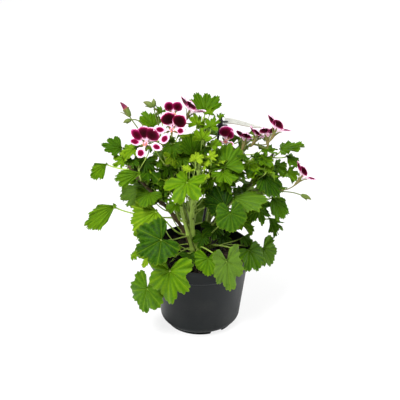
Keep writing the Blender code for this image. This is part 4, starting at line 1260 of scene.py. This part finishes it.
# x of each column in table millimetres, and the stem that its leaves grow on
INNER_COLUMNS = [
    (-60, "stem_left"), (-48, "stem_upper_left"), (-36, "stem_upper_left"), (-24, "stem_upper_left"),
    (-12, "stem_main"), (0, "stem_main"), (12, "stem_main"), (24, "stem_upper_right"),
    (36, "stem_upper_right"), (48, "stem_right"), (60, "stem_upper_right"), (72, "stem_right"),
]
INNER_HEIGHTS = (70, 84, 97, 109, 120, 130)
# Places (x, height, radius) of flowers and of gaps in the crown that no inner leaf may fill.
CLEAR_PLACES = [
    (29, 124, 20), (28, 132, 20), (-57, 146, 20), (-30, 161, 20), (75, 132, 20), (84, 147, 20),
    (52, 84, 13), (60, 77, 13), (47, 88, 12), (6, 59, 12), (-47, 111, 9), (-50, 63, 12), (50, 130, 12),
]
INNER_SPREAD = 132
INNER_FRESHNESS = (0.18, 0.45, 0.60, 0.72)
BACK_LEAVES = 14
BACK_SPREAD = 140
BACK_FRESHNESS = (0.2, 0.4, 0.6)
print(len(INNER_COLUMNS) * len(INNER_HEIGHTS), "places inside and", BACK_LEAVES, "at the back")


# %% Rows for the inner and back leaves
def whole_spot(*place):
    """A table's place, in whole millimetres."""
    return tuple(round(float(value)) for value in place)


def inner_row(rng, column, x, stem, z):
    """A short row near one crossing of the grid, or None where a clear place is. Every other column
    stands 6 mm higher, and the outer ones hang lower by a tenth of their distance from the middle."""
    x_now = x + rng.uniform(-6, 6)
    z_now = z + 6 * (column % 2) + rng.uniform(-5, 5) - 0.10 * abs(x)
    y_now, size = rng.uniform(-12, 30), rng.uniform(11, 18)
    compass, climb = rng.uniform(-165, -15), rng.uniform(-55, 35)
    share = share_at(stem, (POT_HEIGHT / MM + z_now - 24) * MM)
    fresh_and_shade = rng.choice(INNER_FRESHNESS) + (0.18 if abs(x) < 45 and z > 90 else 0.04)
    if any(math.hypot(x_now - place[0], z_now - place[1]) < place[2] for place in CLEAR_PLACES):
        return None
    centre = whole_spot(x_now, y_now, z_now)
    return stem, share, centre, size, compass, climb, rng.uniform(-45, 45), INNER_SPREAD, fresh_and_shade


def back_row(rng, number):
    """A short row of the ring behind the plant: its headings are 21 degrees apart, and its heights
    step through seven levels five at a time, so that neighbours are far apart in height."""
    heading = 90 + (number - (BACK_LEAVES - 1) / 2) * 21 + rng.uniform(-6, 6)
    z = 35 + 14 * (number * 5 % 7) + rng.uniform(-5, 5)
    reach = rng.uniform(42, 66) * (1 - 0.25 * abs(z - 75) / 60)
    turn = math.radians(heading)
    centre = whole_spot(reach * math.cos(turn) * 1.3, reach * math.sin(turn) * 0.8 + 22, z)
    share = share_at("stem_back", (POT_HEIGHT / MM + z - 20) * MM)
    size, climb, roll = rng.uniform(20, 29), rng.uniform(-45, 10), rng.uniform(-25, 25)
    fresh_and_shade = rng.choice(BACK_FRESHNESS)
    return "stem_back", share, centre, size, heading, climb, roll, BACK_SPREAD, fresh_and_shade


print("row makers ready")

# %% Grow the inner leaves
INNER_SEED = 300
INNER_CUP = 0.04
INNER_FOLD = 0.3
INNER_LOBING = 0.85
BACK_LOBING = 0.55
INNER_RUFFLE = 0.20
rng = np.random.default_rng(31)
INNER_LEAVES = {}
for column, (x, stem) in enumerate(INNER_COLUMNS):
    for level, z in enumerate(INNER_HEIGHTS):
        row = inner_row(rng, column, x, stem, z)
        if row:
            INNER_LEAVES[f"leaf_inner_{column + 1}_{level + 1}"] = row
for number in range(BACK_LEAVES):
    INNER_LEAVES[f"leaf_back_{number + 1}"] = back_row(rng, number)
for number, (name, row) in enumerate(INNER_LEAVES.items()):
    lobing = BACK_LOBING if name.startswith("leaf_back") else INNER_LOBING
    fold = INNER_FOLD * math.sin(2.4 * number)
    short_row_leaf(name, row, INNER_CUP, fold, lobing, INNER_RUFFLE, INNER_SEED + number)
print(len(INNER_LEAVES), "inner leaves")

# %% [markdown]
# ## Growing the stems
# A stem can only be made now, because it swells where leaves leave it, and the tables above say where
# that is. Every stem also has three old joints whose leaves have dropped. Two papery scales go on
# each joint, on opposite sides.

# %% Grow the stems
OLD_JOINTS = (0.3, 0.6, 0.85)
SCALE_LENGTH = 0.0035
SCALE_WIDTH = 0.0012
SCALE_AGE = 0.55
joints = {name: set(OLD_JOINTS) for name in STEMS}
for stem, share, *_ in [*LEAVES.values(), *EXTRA_LEAVES.values(), *INNER_LEAVES.values()]:
    joints[stem].add(share)
rng = np.random.default_rng(77)
for name in STEMS:
    shells = [(stem_grid(name, joints[name]), 0, {"age": STEM_AGE_AND_LIGHT.get(name, USUAL_AGE)})]
    for share in sorted(joints[name]):
        heading = rng.uniform(0, 360)
        root, way, up = joint_on(name, share, spot((0, 0, 60)) + aim(heading, 0))
        for turn in (1, -1):
            foot = root - way * PETIOLE_RADIUS * 0.2
            scale = scale_grid(foot, way * turn, up, SCALE_LENGTH, SCALE_WIDTH)
            shells.append((scale, 0, {"age": SCALE_AGE}))
    stem = make_piece("fine_" + name, shells, [stem_skin], 60)
    stand_in(stem, "stem_skin", name)

# %% [markdown]
# ## Flower finishes
# Each flower has two broad upper petals, almost black with a magenta edge, and three narrow lower
# ones, white with one dark spot. The colours have to lie where they grow on the petal, so they follow
# two numbers that each petal stores: the way along it and the way across. A petal is so thin that
# some light comes through. Stalks, sepals and buds share one green finish, which can ripen to purple.


# %% Petal finish
def make_petal_skin():
    """Petal colours from the strip's own numbers: along, across, and 0 for an upper or 1 for a lower.

    The distance from the blade's middle is an ellipse's: 0 in the middle and 1 at the edge. An upper
    petal goes from near black through maroon and magenta to a pale rim; a lower one has a dark spot
    with a magenta halo on white. Noise shifts the distance, so that the borders feather.
    """
    material, tree, shader = finish("petal_skin", roughness=0.6, specular_ior_level=0.04)

    def ellipse_distance(middle, reach, flatness):
        """How far out a point is: the root of ((along - middle) / reach) squared + flatness x across
        squared."""
        long_way = maths(tree, "DIVIDE", maths(tree, "SUBTRACT", along, middle), reach)
        wide_way = maths(tree, "MULTIPLY", maths(tree, "POWER", across, 2.0), flatness)
        return maths(tree, "SQRT", maths(tree, "ADD", maths(tree, "POWER", long_way, 2.0), wide_way))

    place, tone = own_numbers(tree, "petal_place"), attribute(tree, "tone")
    along, across, kind = place["X"], place["Y"], place["Z"]
    fibre_place = add(tree, "ShaderNodeCombineXYZ", {0: maths(tree, "MULTIPLY", along, 2.0), 1: across})
    fibres = noise(tree, 6.0, 3.0, fibre_place.outputs[0])
    shift = maths(tree, "MULTIPLY_ADD", fibres, 0.26, -0.13)
    upper_far = maths(tree, "ADD", ellipse_distance(0.60, 0.40, 0.85), shift)
    dark = ramp(tree, maths(tree, "MULTIPLY", upper_far, 0.5), [
        (0.0, (0.007, 0.0001, 0.0005)), (0.33, (0.018, 0.0002, 0.0016)), (0.43, (0.11, 0.001, 0.012)),
        (0.485, (0.34, 0.010, 0.085)), (0.51, (0.62, 0.17, 0.36)), (0.545, (0.80, 0.48, 0.64)),
        (0.9, (0.95, 0.70, 0.85)),
    ])
    bright = ramp(tree, maths(tree, "MULTIPLY", upper_far, 0.5), [
        (0.0, (0.025, 0.0002, 0.003)), (0.24, (0.075, 0.0006, 0.011)), (0.37, (0.20, 0.003, 0.050)),
        (0.45, (0.42, 0.028, 0.15)), (0.50, (0.66, 0.24, 0.46)), (0.54, (0.90, 0.62, 0.78)),
    ])
    upper = mixed(tree, tone, dark, bright)
    veins = maths(tree, "ABSOLUTE", maths(tree, "SINE", maths(tree, "MULTIPLY", across, 9.0)))
    streaks = between(tree, veins, 0.0, 0.35, 0.75, 0.0)
    streaks = maths(tree, "MULTIPLY", streaks, between(tree, along, 0.12, 0.3))
    claw = mixed(tree, streaks, (0.92, 0.62, 0.78), (0.20, 0.003, 0.05))
    upper = mixed(tree, between(tree, along, 0.20, 0.36), claw, upper)
    lower_far = maths(tree, "MULTIPLY_ADD", shift, 1.4, ellipse_distance(0.64, 0.24, 2.3))
    lower = ramp(tree, maths(tree, "MULTIPLY", lower_far, 0.4), [
        (0.0, (0.10, 0.0006, 0.014)), (0.31, (0.17, 0.001, 0.026)), (0.38, (0.42, 0.03, 0.17)),
        (0.45, (0.90, 0.52, 0.72)), (0.60, (0.97, 0.76, 0.89)), (1.0, (0.98, 0.84, 0.93)),
    ])
    throat_streaks = maths(tree, "MULTIPLY", streaks, between(tree, along, 0.3, 0.5, 0.6, 0.0))
    lower = mixed(tree, throat_streaks, lower, (0.42, 0.02, 0.13))
    colour = mixed(tree, kind, upper, lower)
    height = maths(tree, "MULTIPLY_ADD", veins, -0.7, fibres)
    wire(tree, shader, colour, maths(tree, "MULTIPLY_ADD", fibres, 0.2, 0.42), height, 0.0002, 0.4)
    let_through(tree, shader, colour, 0.18)
    return material


petal_skin = make_petal_skin()
print(petal_skin.name, "ready")


# %% Calyx and stamen finishes
def make_calyx_skin():
    """Green, hairy skin of stalks, sepals and buds. Its attribute "ripe" turns it red, then purple."""
    material, tree, shader = finish("calyx_skin", roughness=0.6, specular_ior_level=0.2)
    ripe = attribute(tree, "ripe")
    mottle = shared(tree, grown_mottle, Patch=420.0, Cell=2200.0)
    grown = maths(tree, "ADD", ripe, maths(tree, "MULTIPLY_ADD", mottle["Mask"], 0.25, -0.12))
    colour = ramp(tree, grown, [
        (0.0, (0.085, 0.140, 0.020)), (0.3, (0.120, 0.120, 0.030)), (0.55, (0.17, 0.06, 0.035)),
        (0.8, (0.16, 0.006, 0.035)), (1.0, (0.10, 0.001, 0.026)),
    ])
    wire(tree, shader, colour, maths(tree, "MULTIPLY_ADD", mottle["Mask"], 0.25, 0.42),
         mottle["Height"], 0.00025, 0.5)
    return material


def make_stamen_skin():
    """Pink threads; the attribute "ripe" turns their tips to orange-brown pollen."""
    material, tree, shader = finish("stamen_skin", roughness=0.6, sheen_weight=0.2)
    ripe = attribute(tree, "ripe")
    grains = noise(tree, 3200.0, 2.0)
    pollen = ramp(tree, grains, [(0.3, (0.42, 0.10, 0.04)), (0.7, (0.75, 0.30, 0.12))])
    colour = mixed(tree, ripe, (0.82, 0.25, 0.36), pollen)
    wire(tree, shader, colour, maths(tree, "MULTIPLY_ADD", grains, 0.3, 0.45), grains, 0.0002, 0.5)
    return material


calyx_skin, stamen_skin = make_calyx_skin(), make_stamen_skin()
print(calyx_skin.name, stamen_skin.name, "ready")

# %% [markdown]
# ## Flowers
# A petal is a strip: its width is a formula of the way along it, a narrow claw that opens to a round
# blade. Five strips round a throat make a flower, and the table says which way it faces and how far
# its petals lean back. The nearest flowers get rows of their own for their petals, since no two open
# in quite the same way. Behind the petals is a calyx, a tube with five pointed sepals, and in the
# throat stand the stamens, threads with a swelling at the tip.

# %% Flower table
# stem, share of the way up it, throat, compass and climb of the way it faces, turn, length of the
# upper and of the lower petals, and their lean
FLOWERS = {
    "flower_left": ("stem_upper_left", 0.93, (-57, -38, 146), -100, 12, 8, 19, 16, 0.25),
    "flower_middle": ("stem_upper_left", 0.97, (-30, -36, 161), -88, 12, -12, 19, 16, 0.25),
    "flower_behind": ("stem_upper_left", 0.995, (-29, -4, 166), -90, 14, 0, 15, 13, 0.35),
    "flower_crown": ("stem_main", 0.90, (-12, 12, 161), 35, 52, 10, 17, 15, 1.10),
    "flower_centre": ("stem_upper_right", 0.80, (29, 20, 124), -92, 18, -6, 17, 9, 0.35),
    "flower_card_side": ("stem_upper_right", 0.985, (75, 13, 132), 100, 62, 0, 14, 11, 1.10),
    "flower_right_top": ("stem_upper_right", 0.96, (82, -8, 147), 35, 50, 10, 17, 14, 1.10),
    "flower_right": ("stem_right", 0.66, (114, 4, 86), 24, 40, 5, 16, 14, 1.05),
}
# Two more, half hidden by leaves, with no solid of their own.
HIDDEN_FLOWERS = {
    "flower_half_hidden": ("stem_upper_right", 0.90, (50, 18, 125), 60, 55, 0, 13, 9, 1.0),
    "flower_under_card": ("stem_upper_right", 0.95, (63, 16, 130), 35, 50, 0, 12, 8, 1.0),
}
UPPER, LOWER = 0, 1
# way from the top (degrees), length and breadth as shares of the flower's usual length, kind
USUAL_PETALS = [(-25, 1.0, 0.80, UPPER), (25, 1.0, 0.80, UPPER), (-102, 1.0, 0.62, LOWER),
                (102, 1.0, 0.62, LOWER), (180, 1.0, 0.62, LOWER)]
OWN_PETALS = {
    "flower_left": [(-38, 1.10, 0.54, UPPER), (-5, 0.98, 0.80, UPPER), (37, 1.0, 0.86, UPPER),
                    (-71, 1.12, 0.52, LOWER), (107, 1.05, 0.52, LOWER), (-142, 0.95, 0.66, LOWER)],
    "flower_middle": [(-27, 1.00, 0.80, UPPER), (28, 1.02, 0.76, UPPER), (-96, 1.12, 0.52, LOWER),
                      (80, 0.80, 0.56, LOWER), (-150, 1.02, 0.56, LOWER)],
    "flower_behind": [(-26, 1.0, 0.72, UPPER), (26, 1.0, 0.72, UPPER), (-102, 1.0, 0.6, LOWER),
                      (102, 1.0, 0.6, LOWER), (180, 1.0, 0.6, LOWER)],
    "flower_centre": [(20, 0.80, 0.60, UPPER), (-4, 1.02, 0.98, UPPER), (-102, 0.9, 0.6, LOWER),
                      (102, 0.9, 0.6, LOWER), (180, 1.0, 0.8, LOWER)],
}
# How bright the upper petals are: 0 is nearly black, 1 is magenta.
FLOWER_TONE = {"flower_left": 0.35, "flower_middle": 0.05, "flower_behind": 0.75, "flower_centre": 1.0}
USUAL_TONE = 0.5
CALYX_RADIUS = 0.0022
CALYX_LENGTH = 0.009
CLEARANCE = 0.0004
PETAL_ROWS = 34
PETAL_COLUMNS = 19
PETAL_WALL = 0.00035
SEPAL_LENGTH = 0.0085
SEPAL_WIDTH = 0.0032
SEPAL_WALL = 0.0004
STALK_STEPS = 34            # rings along a flower's stalk
TUBE_STEPS = 14             # rings along its calyx tube
STAMENS = 7
STAMEN_RADIUS = 0.00022
print(len(FLOWERS), "flowers")


# %% Petal shape
def petal_sheet(throat, ways, direction, length, breadth, lean, layer, rng):
    """One petal's closed skin with its own numbers (along, across).

    Half width = half the breadth x (0.13 + 0.87 x a smooth step at the claw) x the fourth-power
    ellipse that rounds the tip. Height = lean x the way out x (1 - 0.35 x the way out) + a little
    for its layer - a curl of the edges + ruffles that grow towards the edge.
    """
    facing, side, top = ways
    turn = math.radians(direction)
    outward = math.cos(turn) * top + math.sin(turn) * side
    sideways = np.cross(facing, outward)
    along = 1 - (1 - np.linspace(0, 1, PETAL_ROWS)) ** 1.9
    across = np.sin(np.linspace(-1, 1, PETAL_COLUMNS) * math.pi / 2)
    claw = np.clip((along - 0.10) / 0.42, 0, 1)
    claw = claw**2 * (3 - 2 * claw)
    tip = np.clip((along - 0.55) / 0.45, 0, 1)
    half = breadth / 2 * (0.13 + 0.87 * claw) * np.sqrt(1 - 0.985 * tip**2.6)
    u, v = np.meshgrid(along, across, indexing="ij")
    notch = 1 - 0.05 * np.exp(-((v / 0.25) ** 2)) * u**6
    out = (0.0012 + length * u) * notch
    wide = half[:, None] * v * (1 + 0.05 * np.sin(5 * u + rng.uniform(0, 6)))
    height = lean * out * (1 - 0.35 * out / length) + 0.0005 * layer * claw[:, None]
    bow = 0.03 * length * np.sin(math.pi * u) * rng.uniform(-1, 1)
    height = height - 0.10 * breadth * v**2 * claw[:, None] + bow
    wave = np.sin(3.4 * v + rng.uniform(0, 6)) + 0.6 * np.sin(7.5 * v + 4 * u + rng.uniform(0, 6))
    height = height + 0.028 * length * u**2 * wave
    surface = throat + out[..., None] * outward + wide[..., None] * sideways + height[..., None] * facing
    return thick_sheet(surface, PETAL_WALL), both_faces(np.stack([u, v], axis=-1))


print("petal sheets of", PETAL_ROWS, "x", PETAL_COLUMNS, "points on each face")


# %% Sepals, stalk and stamens
def sepal_sheet(root, outward, facing, length, width, bend):
    """A pointed sepal: half width = width x (1 - along)^0.7, rising along the tube and bending out."""
    u, v = np.meshgrid(np.linspace(0, 0.97, 14), np.linspace(-1, 1, 7), indexing="ij")
    side = np.cross(facing, outward)
    half = width / 2 * (1 - u) ** 0.7 * (0.75 + 0.6 * u)
    away = length * bend * u**1.6 + 0.18 * width * (1 - v**2)
    rise = length * u * (1 - 0.35 * bend * u)
    surface = root + away[..., None] * outward + (half * v)[..., None] * side + rise[..., None] * facing
    return thick_sheet(surface, SEPAL_WALL)


def ring_way(side, top, degrees):
    """The way out at an angle round a flower."""
    return math.cos(math.radians(degrees)) * top + math.sin(math.radians(degrees)) * side


def calyx_shells(stem, share, foot, top_end, facing, radius, bend, ripe):
    """The stalk with the calyx tube on its end, and five sepals round the tube's mouth."""
    start, way, up = joint_on(stem, share, foot)
    reach = np.linalg.norm(foot - start)
    rise = start + (way * 0.3 + up * 0.6) * reach * 0.5
    stalk = bezier(start, rise, foot - facing * reach * 0.3, foot, STALK_STEPS)
    shares = np.linspace(0.08, 1, TUBE_STEPS)
    path = np.vstack([stalk, foot + np.outer(shares, top_end - foot)])
    up_stalk = np.linspace(0, 1, STALK_STEPS)
    thin = PETIOLE_RADIUS * (0.72 + 0.5 * up_stalk**30) + 0.0006 * np.exp(-up_stalk * 25)
    swell = PETIOLE_RADIUS * 1.25 + (radius - PETIOLE_RADIUS * 1.25) * np.sin(shares * math.pi / 2)
    radii = np.append(thin, swell)
    riper = np.append(np.linspace(0.1, ripe, STALK_STEPS), np.full(TUBE_STEPS, ripe))
    shells = [(tube(path, radii, 12), 0, {"ripe": riper[:, None]})]
    _, side, top = face_frame(facing, 0)
    for number in range(5):
        outward = ring_way(side, top, 72 * number + 36)
        root = top_end - facing * 0.0022 + outward * radius * 0.92
        sepal = sepal_sheet(root, outward, facing, SEPAL_LENGTH, SEPAL_WIDTH, bend)
        shells.append((sepal, 0, {"ripe": ripe * 0.8}))
    return shells


def stamen_shells(throat, facing, side, top, rng):
    """The stamens: thin tubes from the throat, bent up and outwards, with a pollen sac at each tip."""
    shells = []
    for number in range(STAMENS):
        outward = ring_way(side, top, 51 * number + 20 * rng.random())
        tip = throat + facing * rng.uniform(0.006, 0.009)
        tip = tip + (outward * 0.45 + top * 0.35) * rng.uniform(0.004, 0.007)
        path = bezier(throat - facing * 0.001, throat + facing * 0.004, tip - facing * 0.002, tip, 14)
        radii = np.append(np.full(10, STAMEN_RADIUS), (0.0006, 0.00075, 0.0006, 0.0002))
        ends = np.append(np.zeros(10), np.ones(4))[:, None]
        shells.append((tube(path, radii, 7), 1, {"ripe": ends}))
    return shells


print("calyx and stamen makers ready")

# %% Grow the flowers
FLOWER_SEED = 400
SEPAL_BEND = 0.55
CALYX_RIPENESS = 0.35
for number, (name, row) in enumerate([*FLOWERS.items(), *HIDDEN_FLOWERS.items()]):
    stem, share, throat, compass, climb, turn, upper, lower, lean = row
    rng = np.random.default_rng(FLOWER_SEED + number)
    throat = spot(throat)
    facing = aim(compass, climb)
    ways = face_frame(facing, turn)
    _, side, top = ways
    shells = []
    for layer, (direction, long, wide, kind) in enumerate(OWN_PETALS.get(name, USUAL_PETALS)):
        size = (upper, lower)[kind] * MM
        tone = FLOWER_TONE.get(name, USUAL_TONE) + (0.5 if layer == 0 and name == "flower_left" else 0)
        sheet, own = petal_sheet(throat, ways, direction, size * long, size * wide, lean, layer % 3, rng)
        own = np.concatenate([own, np.full((*own.shape[:2], 1), float(kind))], axis=-1)
        shells.append((sheet, 0, {"petal_place": own, "tone": tone}))
    shells += stamen_shells(throat, facing, side, top, rng)
    petals = make_piece("fine_" + name + "_petals", shells, [petal_skin, stamen_skin], 60)
    stand_in(petals, "petal_skin", *([name + "_petals"] if name in FLOWERS else []))
    top_end = throat - facing * CLEARANCE
    foot = top_end - facing * CALYX_LENGTH
    shells = calyx_shells(stem, share, foot, top_end, facing, CALYX_RADIUS, SEPAL_BEND, CALYX_RIPENESS)
    calyx = make_piece("fine_" + name + "_calyx", shells, [calyx_skin], 60)
    stand_in(calyx, "calyx_skin", *([name + "_calyx"] if name in FLOWERS else []))
print(len(FLOWERS) + len(HIDDEN_FLOWERS), "flowers grown")

# %% [markdown]
# ## Buds
# A bud is a spindle, ribbed by the five sepals that wrap it, on a thin stalk. Its radius is a sine of
# the way along it. Where the petals push out of its tip, it turns purple. Some buds stand in pairs.

# %% Buds tables
# stem, share of the way up it, foot, compass and climb, length, radius (mm), how purple its tip is
BUDS = {
    "bud_left": ("stem_upper_left", 0.86, (-76, -5, 164), 152, 52, 19, 3.1, 1.0),
    "bud_top": ("stem_upper_left", 0.992, (-51, 2, 173), 165, 22, 12, 3.0, 0.15),
    "bud_right": ("stem_right", 0.63, (115, 5, 65), -10, -22, 13, 2.4, 0.1),
}
SECOND_BUDS = {
    "bud_left_low": ("stem_upper_left", 0.86, (-75, -4, 160), 186, -18, 9, 2.3, 0.1),
    "bud_top_upright": ("stem_upper_left", 0.992, (-50, 2, 173), 100, 75, 9, 2.4, 0.1),
}
BUD_SEED = 500
BUD_SIDES = 20
BUD_STALK_STEPS = 36
print(len(BUDS) + len(SECOND_BUDS), "buds in the tables")


# %% Grow the buds
def bud_shells(row, seed):
    """The stalk and the ribbed spindle as one tube, and thin sepals that part near the tip."""
    stem, share, foot, compass, climb, length, radius, purple = row
    rng = np.random.default_rng(seed)
    length, radius = length * MM, radius * MM
    base, facing = spot(foot), aim(compass, climb)
    start, way, up = joint_on(stem, share, base)
    reach = np.linalg.norm(base - start)
    rise = start + (way * 0.4 + up * 0.5) * reach * 0.5
    stalk = bezier(start, rise, base - facing * reach * 0.3, base, BUD_STALK_STEPS)
    shares = np.linspace(0, 1, 30)
    _, side, top = face_frame(facing, 0)
    bend = np.outer(0.07 * length * np.sin(math.pi * shares), top)
    body = base + np.outer(shares[1:] * length, facing) + bend[1:]
    spindle = radius * np.sin(math.pi * np.clip(0.12 + 0.86 * shares[1:] ** 0.85, 0, 1)) ** 0.8
    thin = PETIOLE_RADIUS * (0.72 + 0.3 * np.exp(-np.linspace(0, 1, BUD_STALK_STEPS) * 20))
    turn = np.arange(BUD_SIDES) * 2 * math.pi / BUD_SIDES
    ribs = 0.95 + 0.09 * np.abs(np.cos(2.5 * turn))
    radii = np.concatenate([np.repeat(thin[:, None], BUD_SIDES, axis=1), spindle[:, None] * ribs])
    riper = 0.05 + purple * np.clip((shares[1:] - 0.42) / 0.25, 0, 1)
    ripe = np.append(np.full(BUD_STALK_STEPS, 0.12), riper)
    shells = [(tube(np.vstack([stalk, body]), radii, BUD_SIDES), 0, {"ripe": ripe[:, None]})]
    for number in range(5):
        outward = ring_way(side, top, 72 * number + rng.uniform(-8, 8))
        root = base + facing * length * 0.12 + outward * radius * 0.55
        long, bend = (0.62, 0.16) if purple < 0.5 else (0.48, 0.42)
        sheet = sepal_sheet(root, outward, facing, length * long, radius * 1.2, bend)
        shells.append((sheet, 0, {"ripe": 0.05 + 0.15 * purple}))
    return shells


for number, (name, row) in enumerate([*BUDS.items(), *SECOND_BUDS.items()]):
    bud = make_piece("fine_" + name, bud_shells(row, BUD_SEED + number), [calyx_skin], 60)
    stand_in(bud, "calyx_skin", *([name] if name in BUDS else []))
print(len(BUDS) + len(SECOND_BUDS), "buds grown")

# %% [markdown]
# ## The label
# A black stake stands in the soil. A clip on its top holds a thin card by one edge, with a knob above
# and a loop beside it. All that is round about the stake's axis is one tube with a row of radii. The
# card is frosted plastic: light shines through, and its print has weathered to grey smudges, which
# are stretched noise, finer across the card than along it. One edge has turned brown.


# %% Label finishes
def make_stake_plastic():
    """Black moulded plastic, a little grey where dust sits in its grain."""
    material, tree, shader = finish("stake_plastic", specular_ior_level=0.3)
    grain = shared(tree, moulded_grain, Grain=2400.0, Patch=160.0)
    dust = maths(tree, "MULTIPLY", grain["Dust"], 0.4)
    colour = mixed(tree, dust, (0.006, 0.0065, 0.007), (0.045, 0.042, 0.034))
    rough = between(tree, grain["Dust"], 0.0, 1.0, 0.38, 0.6)
    wire(tree, shader, colour, rough, grain["Height"], 0.0001, 0.5)
    return material


def make_card_plastic():
    """Frosted white sheet with smudged lines, on the sheet's own numbers (along, across)."""
    material, tree, shader = finish("card_plastic", specular_ior_level=0.4)
    parts = own_numbers(tree, "card_place")
    long_way = maths(tree, "MULTIPLY", parts["X"], 5.0)
    line_way = maths(tree, "MULTIPLY", parts["Y"], 26.0)
    streaks = noise(tree, 1.6, 4.0, add(tree, "ShaderNodeCombineXYZ", {0: long_way, 1: line_way}).outputs[0])
    far_margin = between(tree, parts["Y"], 0.8, 0.95, 1.0, 0.0)
    inside = maths(tree, "MULTIPLY", between(tree, parts["Y"], 0.05, 0.15), far_margin)
    print_share = maths(tree, "MULTIPLY", between(tree, streaks, 0.47, 0.62, 0.0, 0.85), inside)
    plain = mixed(tree, noise(tree, 60.0, 3.0), (0.60, 0.60, 0.54), (0.76, 0.76, 0.71))
    colour = mixed(tree, print_share, plain, (0.27, 0.27, 0.23))
    edge = between(tree, parts["Y"], 0.01, 0.07, 0.85, 0.0)
    colour = mixed(tree, edge, colour, (0.20, 0.13, 0.07))
    wire(tree, shader, colour, between(tree, streaks, 0.3, 0.7, 0.28, 0.5), streaks, 0.00008, 0.3)
    let_through(tree, shader, colour, 0.4)
    return material


stake_plastic, card_plastic = make_stake_plastic(), make_card_plastic()
print("label finishes ready")

# %% Stake and clip
STAKE_FOOT = (-1, 16)
STAKE_TOP = (22, 27, 137)
STAKE_RADIUS = 0.0014
STAKE_DEPTH = 0.030
CLIP_RADIUS = 0.0029
CLIP_HEIGHT = 0.011
CLIP_LOOP_RADIUS = 0.0024
CLIP_LOOP_WIRE = 0.00055
JAW_LIFTS = (0.0048, 0.0088)
JAW_LENGTH = 0.0085
JAW_RADIUS = 0.0011
JAW_STEPS = 12

x, y = STAKE_FOOT
stake_ground = np.array([x * MM, y * MM, soil_height(x * MM, y * MM)])
stake_top = spot(STAKE_TOP)
stake_way = unit(stake_top - stake_ground)
stake_tip = stake_ground - stake_way * STAKE_DEPTH
stake_length = np.linalg.norm(stake_top - stake_tip)
# (height over the foot of the clip, radius) of everything turned on the stake's axis
TURNED = [
    (-stake_length, 0.0003), (-stake_length + 0.006, STAKE_RADIUS), (-0.0100, STAKE_RADIUS),
    (-0.0004, STAKE_RADIUS), (0.0, 0.0023), (0.0006, CLIP_RADIUS), (0.0040, CLIP_RADIUS),
    (0.0044, 0.0025), (0.0052, 0.0025), (0.0056, CLIP_RADIUS), (0.0104, CLIP_RADIUS * 0.93),
    (0.0110, 0.0022), (0.0120, 0.0012), (0.0150, 0.0011), (0.0153, 0.0018), (0.0160, 0.0020),
    (0.0167, 0.0019), (0.0172, 0.0012), (0.0175, 0.0004),
]
axis = stake_top + np.outer([height for height, _ in TURNED], stake_way)
shells = [(tube(axis, [radius for _, radius in TURNED], 24), 0, {})]
# The loop is a ring of wire beside the clip, and the two jaws are pegs with rounded tips.
loop_turn = np.linspace(0.35, 2 * math.pi - 0.35, 40)
left = np.array([-1.0, 0, 0])
loop_middle = stake_top + stake_way * 0.006 + left * (CLIP_RADIUS + CLIP_LOOP_RADIUS * 0.75)
loop_ring = np.outer(np.cos(loop_turn), left) - np.outer(np.sin(loop_turn), stake_way)
loop_wire = np.full(len(loop_turn), CLIP_LOOP_WIRE)
shells.append((tube(loop_middle - CLIP_LOOP_RADIUS * loop_ring, loop_wire, 10), 0, {}))
card_way = aim(-4, 0)
along_jaw = np.linspace(0, 1, JAW_STEPS)
for lift in JAW_LIFTS:
    jaw = stake_top + stake_way * lift + np.outer(along_jaw * JAW_LENGTH, card_way)
    shells.append((tube(jaw, JAW_RADIUS * np.sqrt(1 - 0.9 * along_jaw**6), 12), 0, {}))
stake = make_piece("fine_label_stake", shells, [stake_plastic], 40)
stand_in(stake, "stake_plastic", "label_stake")
print("stake", round(stake_length * 1000), "mm long")

# %% [markdown]
# ## The card
# The card is one thin sheet, held by a corner of its front edge, so it slopes towards the back, sags
# at its far end and has dried a little wavy. A grid of heights over its length and depth gives this.

# %% Card
CARD_LENGTH = 0.057
CARD_DEPTH = 0.036
CARD_THICKNESS = 0.0005
CARD_SAG = 0.007
CARD_SLOPES = (-12, -18)    # climb towards the back at the clip and at the far end, degrees
share, over = np.meshgrid(np.linspace(0, 1, 64), np.linspace(0, 1, 30), indexing="ij")
slope = np.radians(CARD_SLOPES[0] + (CARD_SLOPES[1] - CARD_SLOPES[0]) * share)
back_way = aim(86, 0)
corner = stake_top + stake_way * CLIP_HEIGHT * 0.6 + card_way * (CLIP_RADIUS + CLEARANCE)
depth = CARD_DEPTH * (1 - 0.25 * share**2) * over
card = corner + (CARD_LENGTH * share)[..., None] * card_way + (depth * np.cos(slope))[..., None] * back_way
card[..., 2] += depth * np.sin(slope) - CARD_SAG * share**1.5
card[..., 2] += 0.0011 * np.sin(5 * share + 1.2 * over) * over + 0.0006 * np.sin(9 * share) * (1 - over)
own = both_faces(np.stack([share, over, 0 * share], axis=-1))
sheet = thick_sheet(card, CARD_THICKNESS)
card = make_piece("fine_label_card", [(sheet, 0, {"card_place": own})], [card_plastic], 40)
stand_in(card, "card_plastic", "label_card")
print("card", CARD_LENGTH * 1000, "mm long")
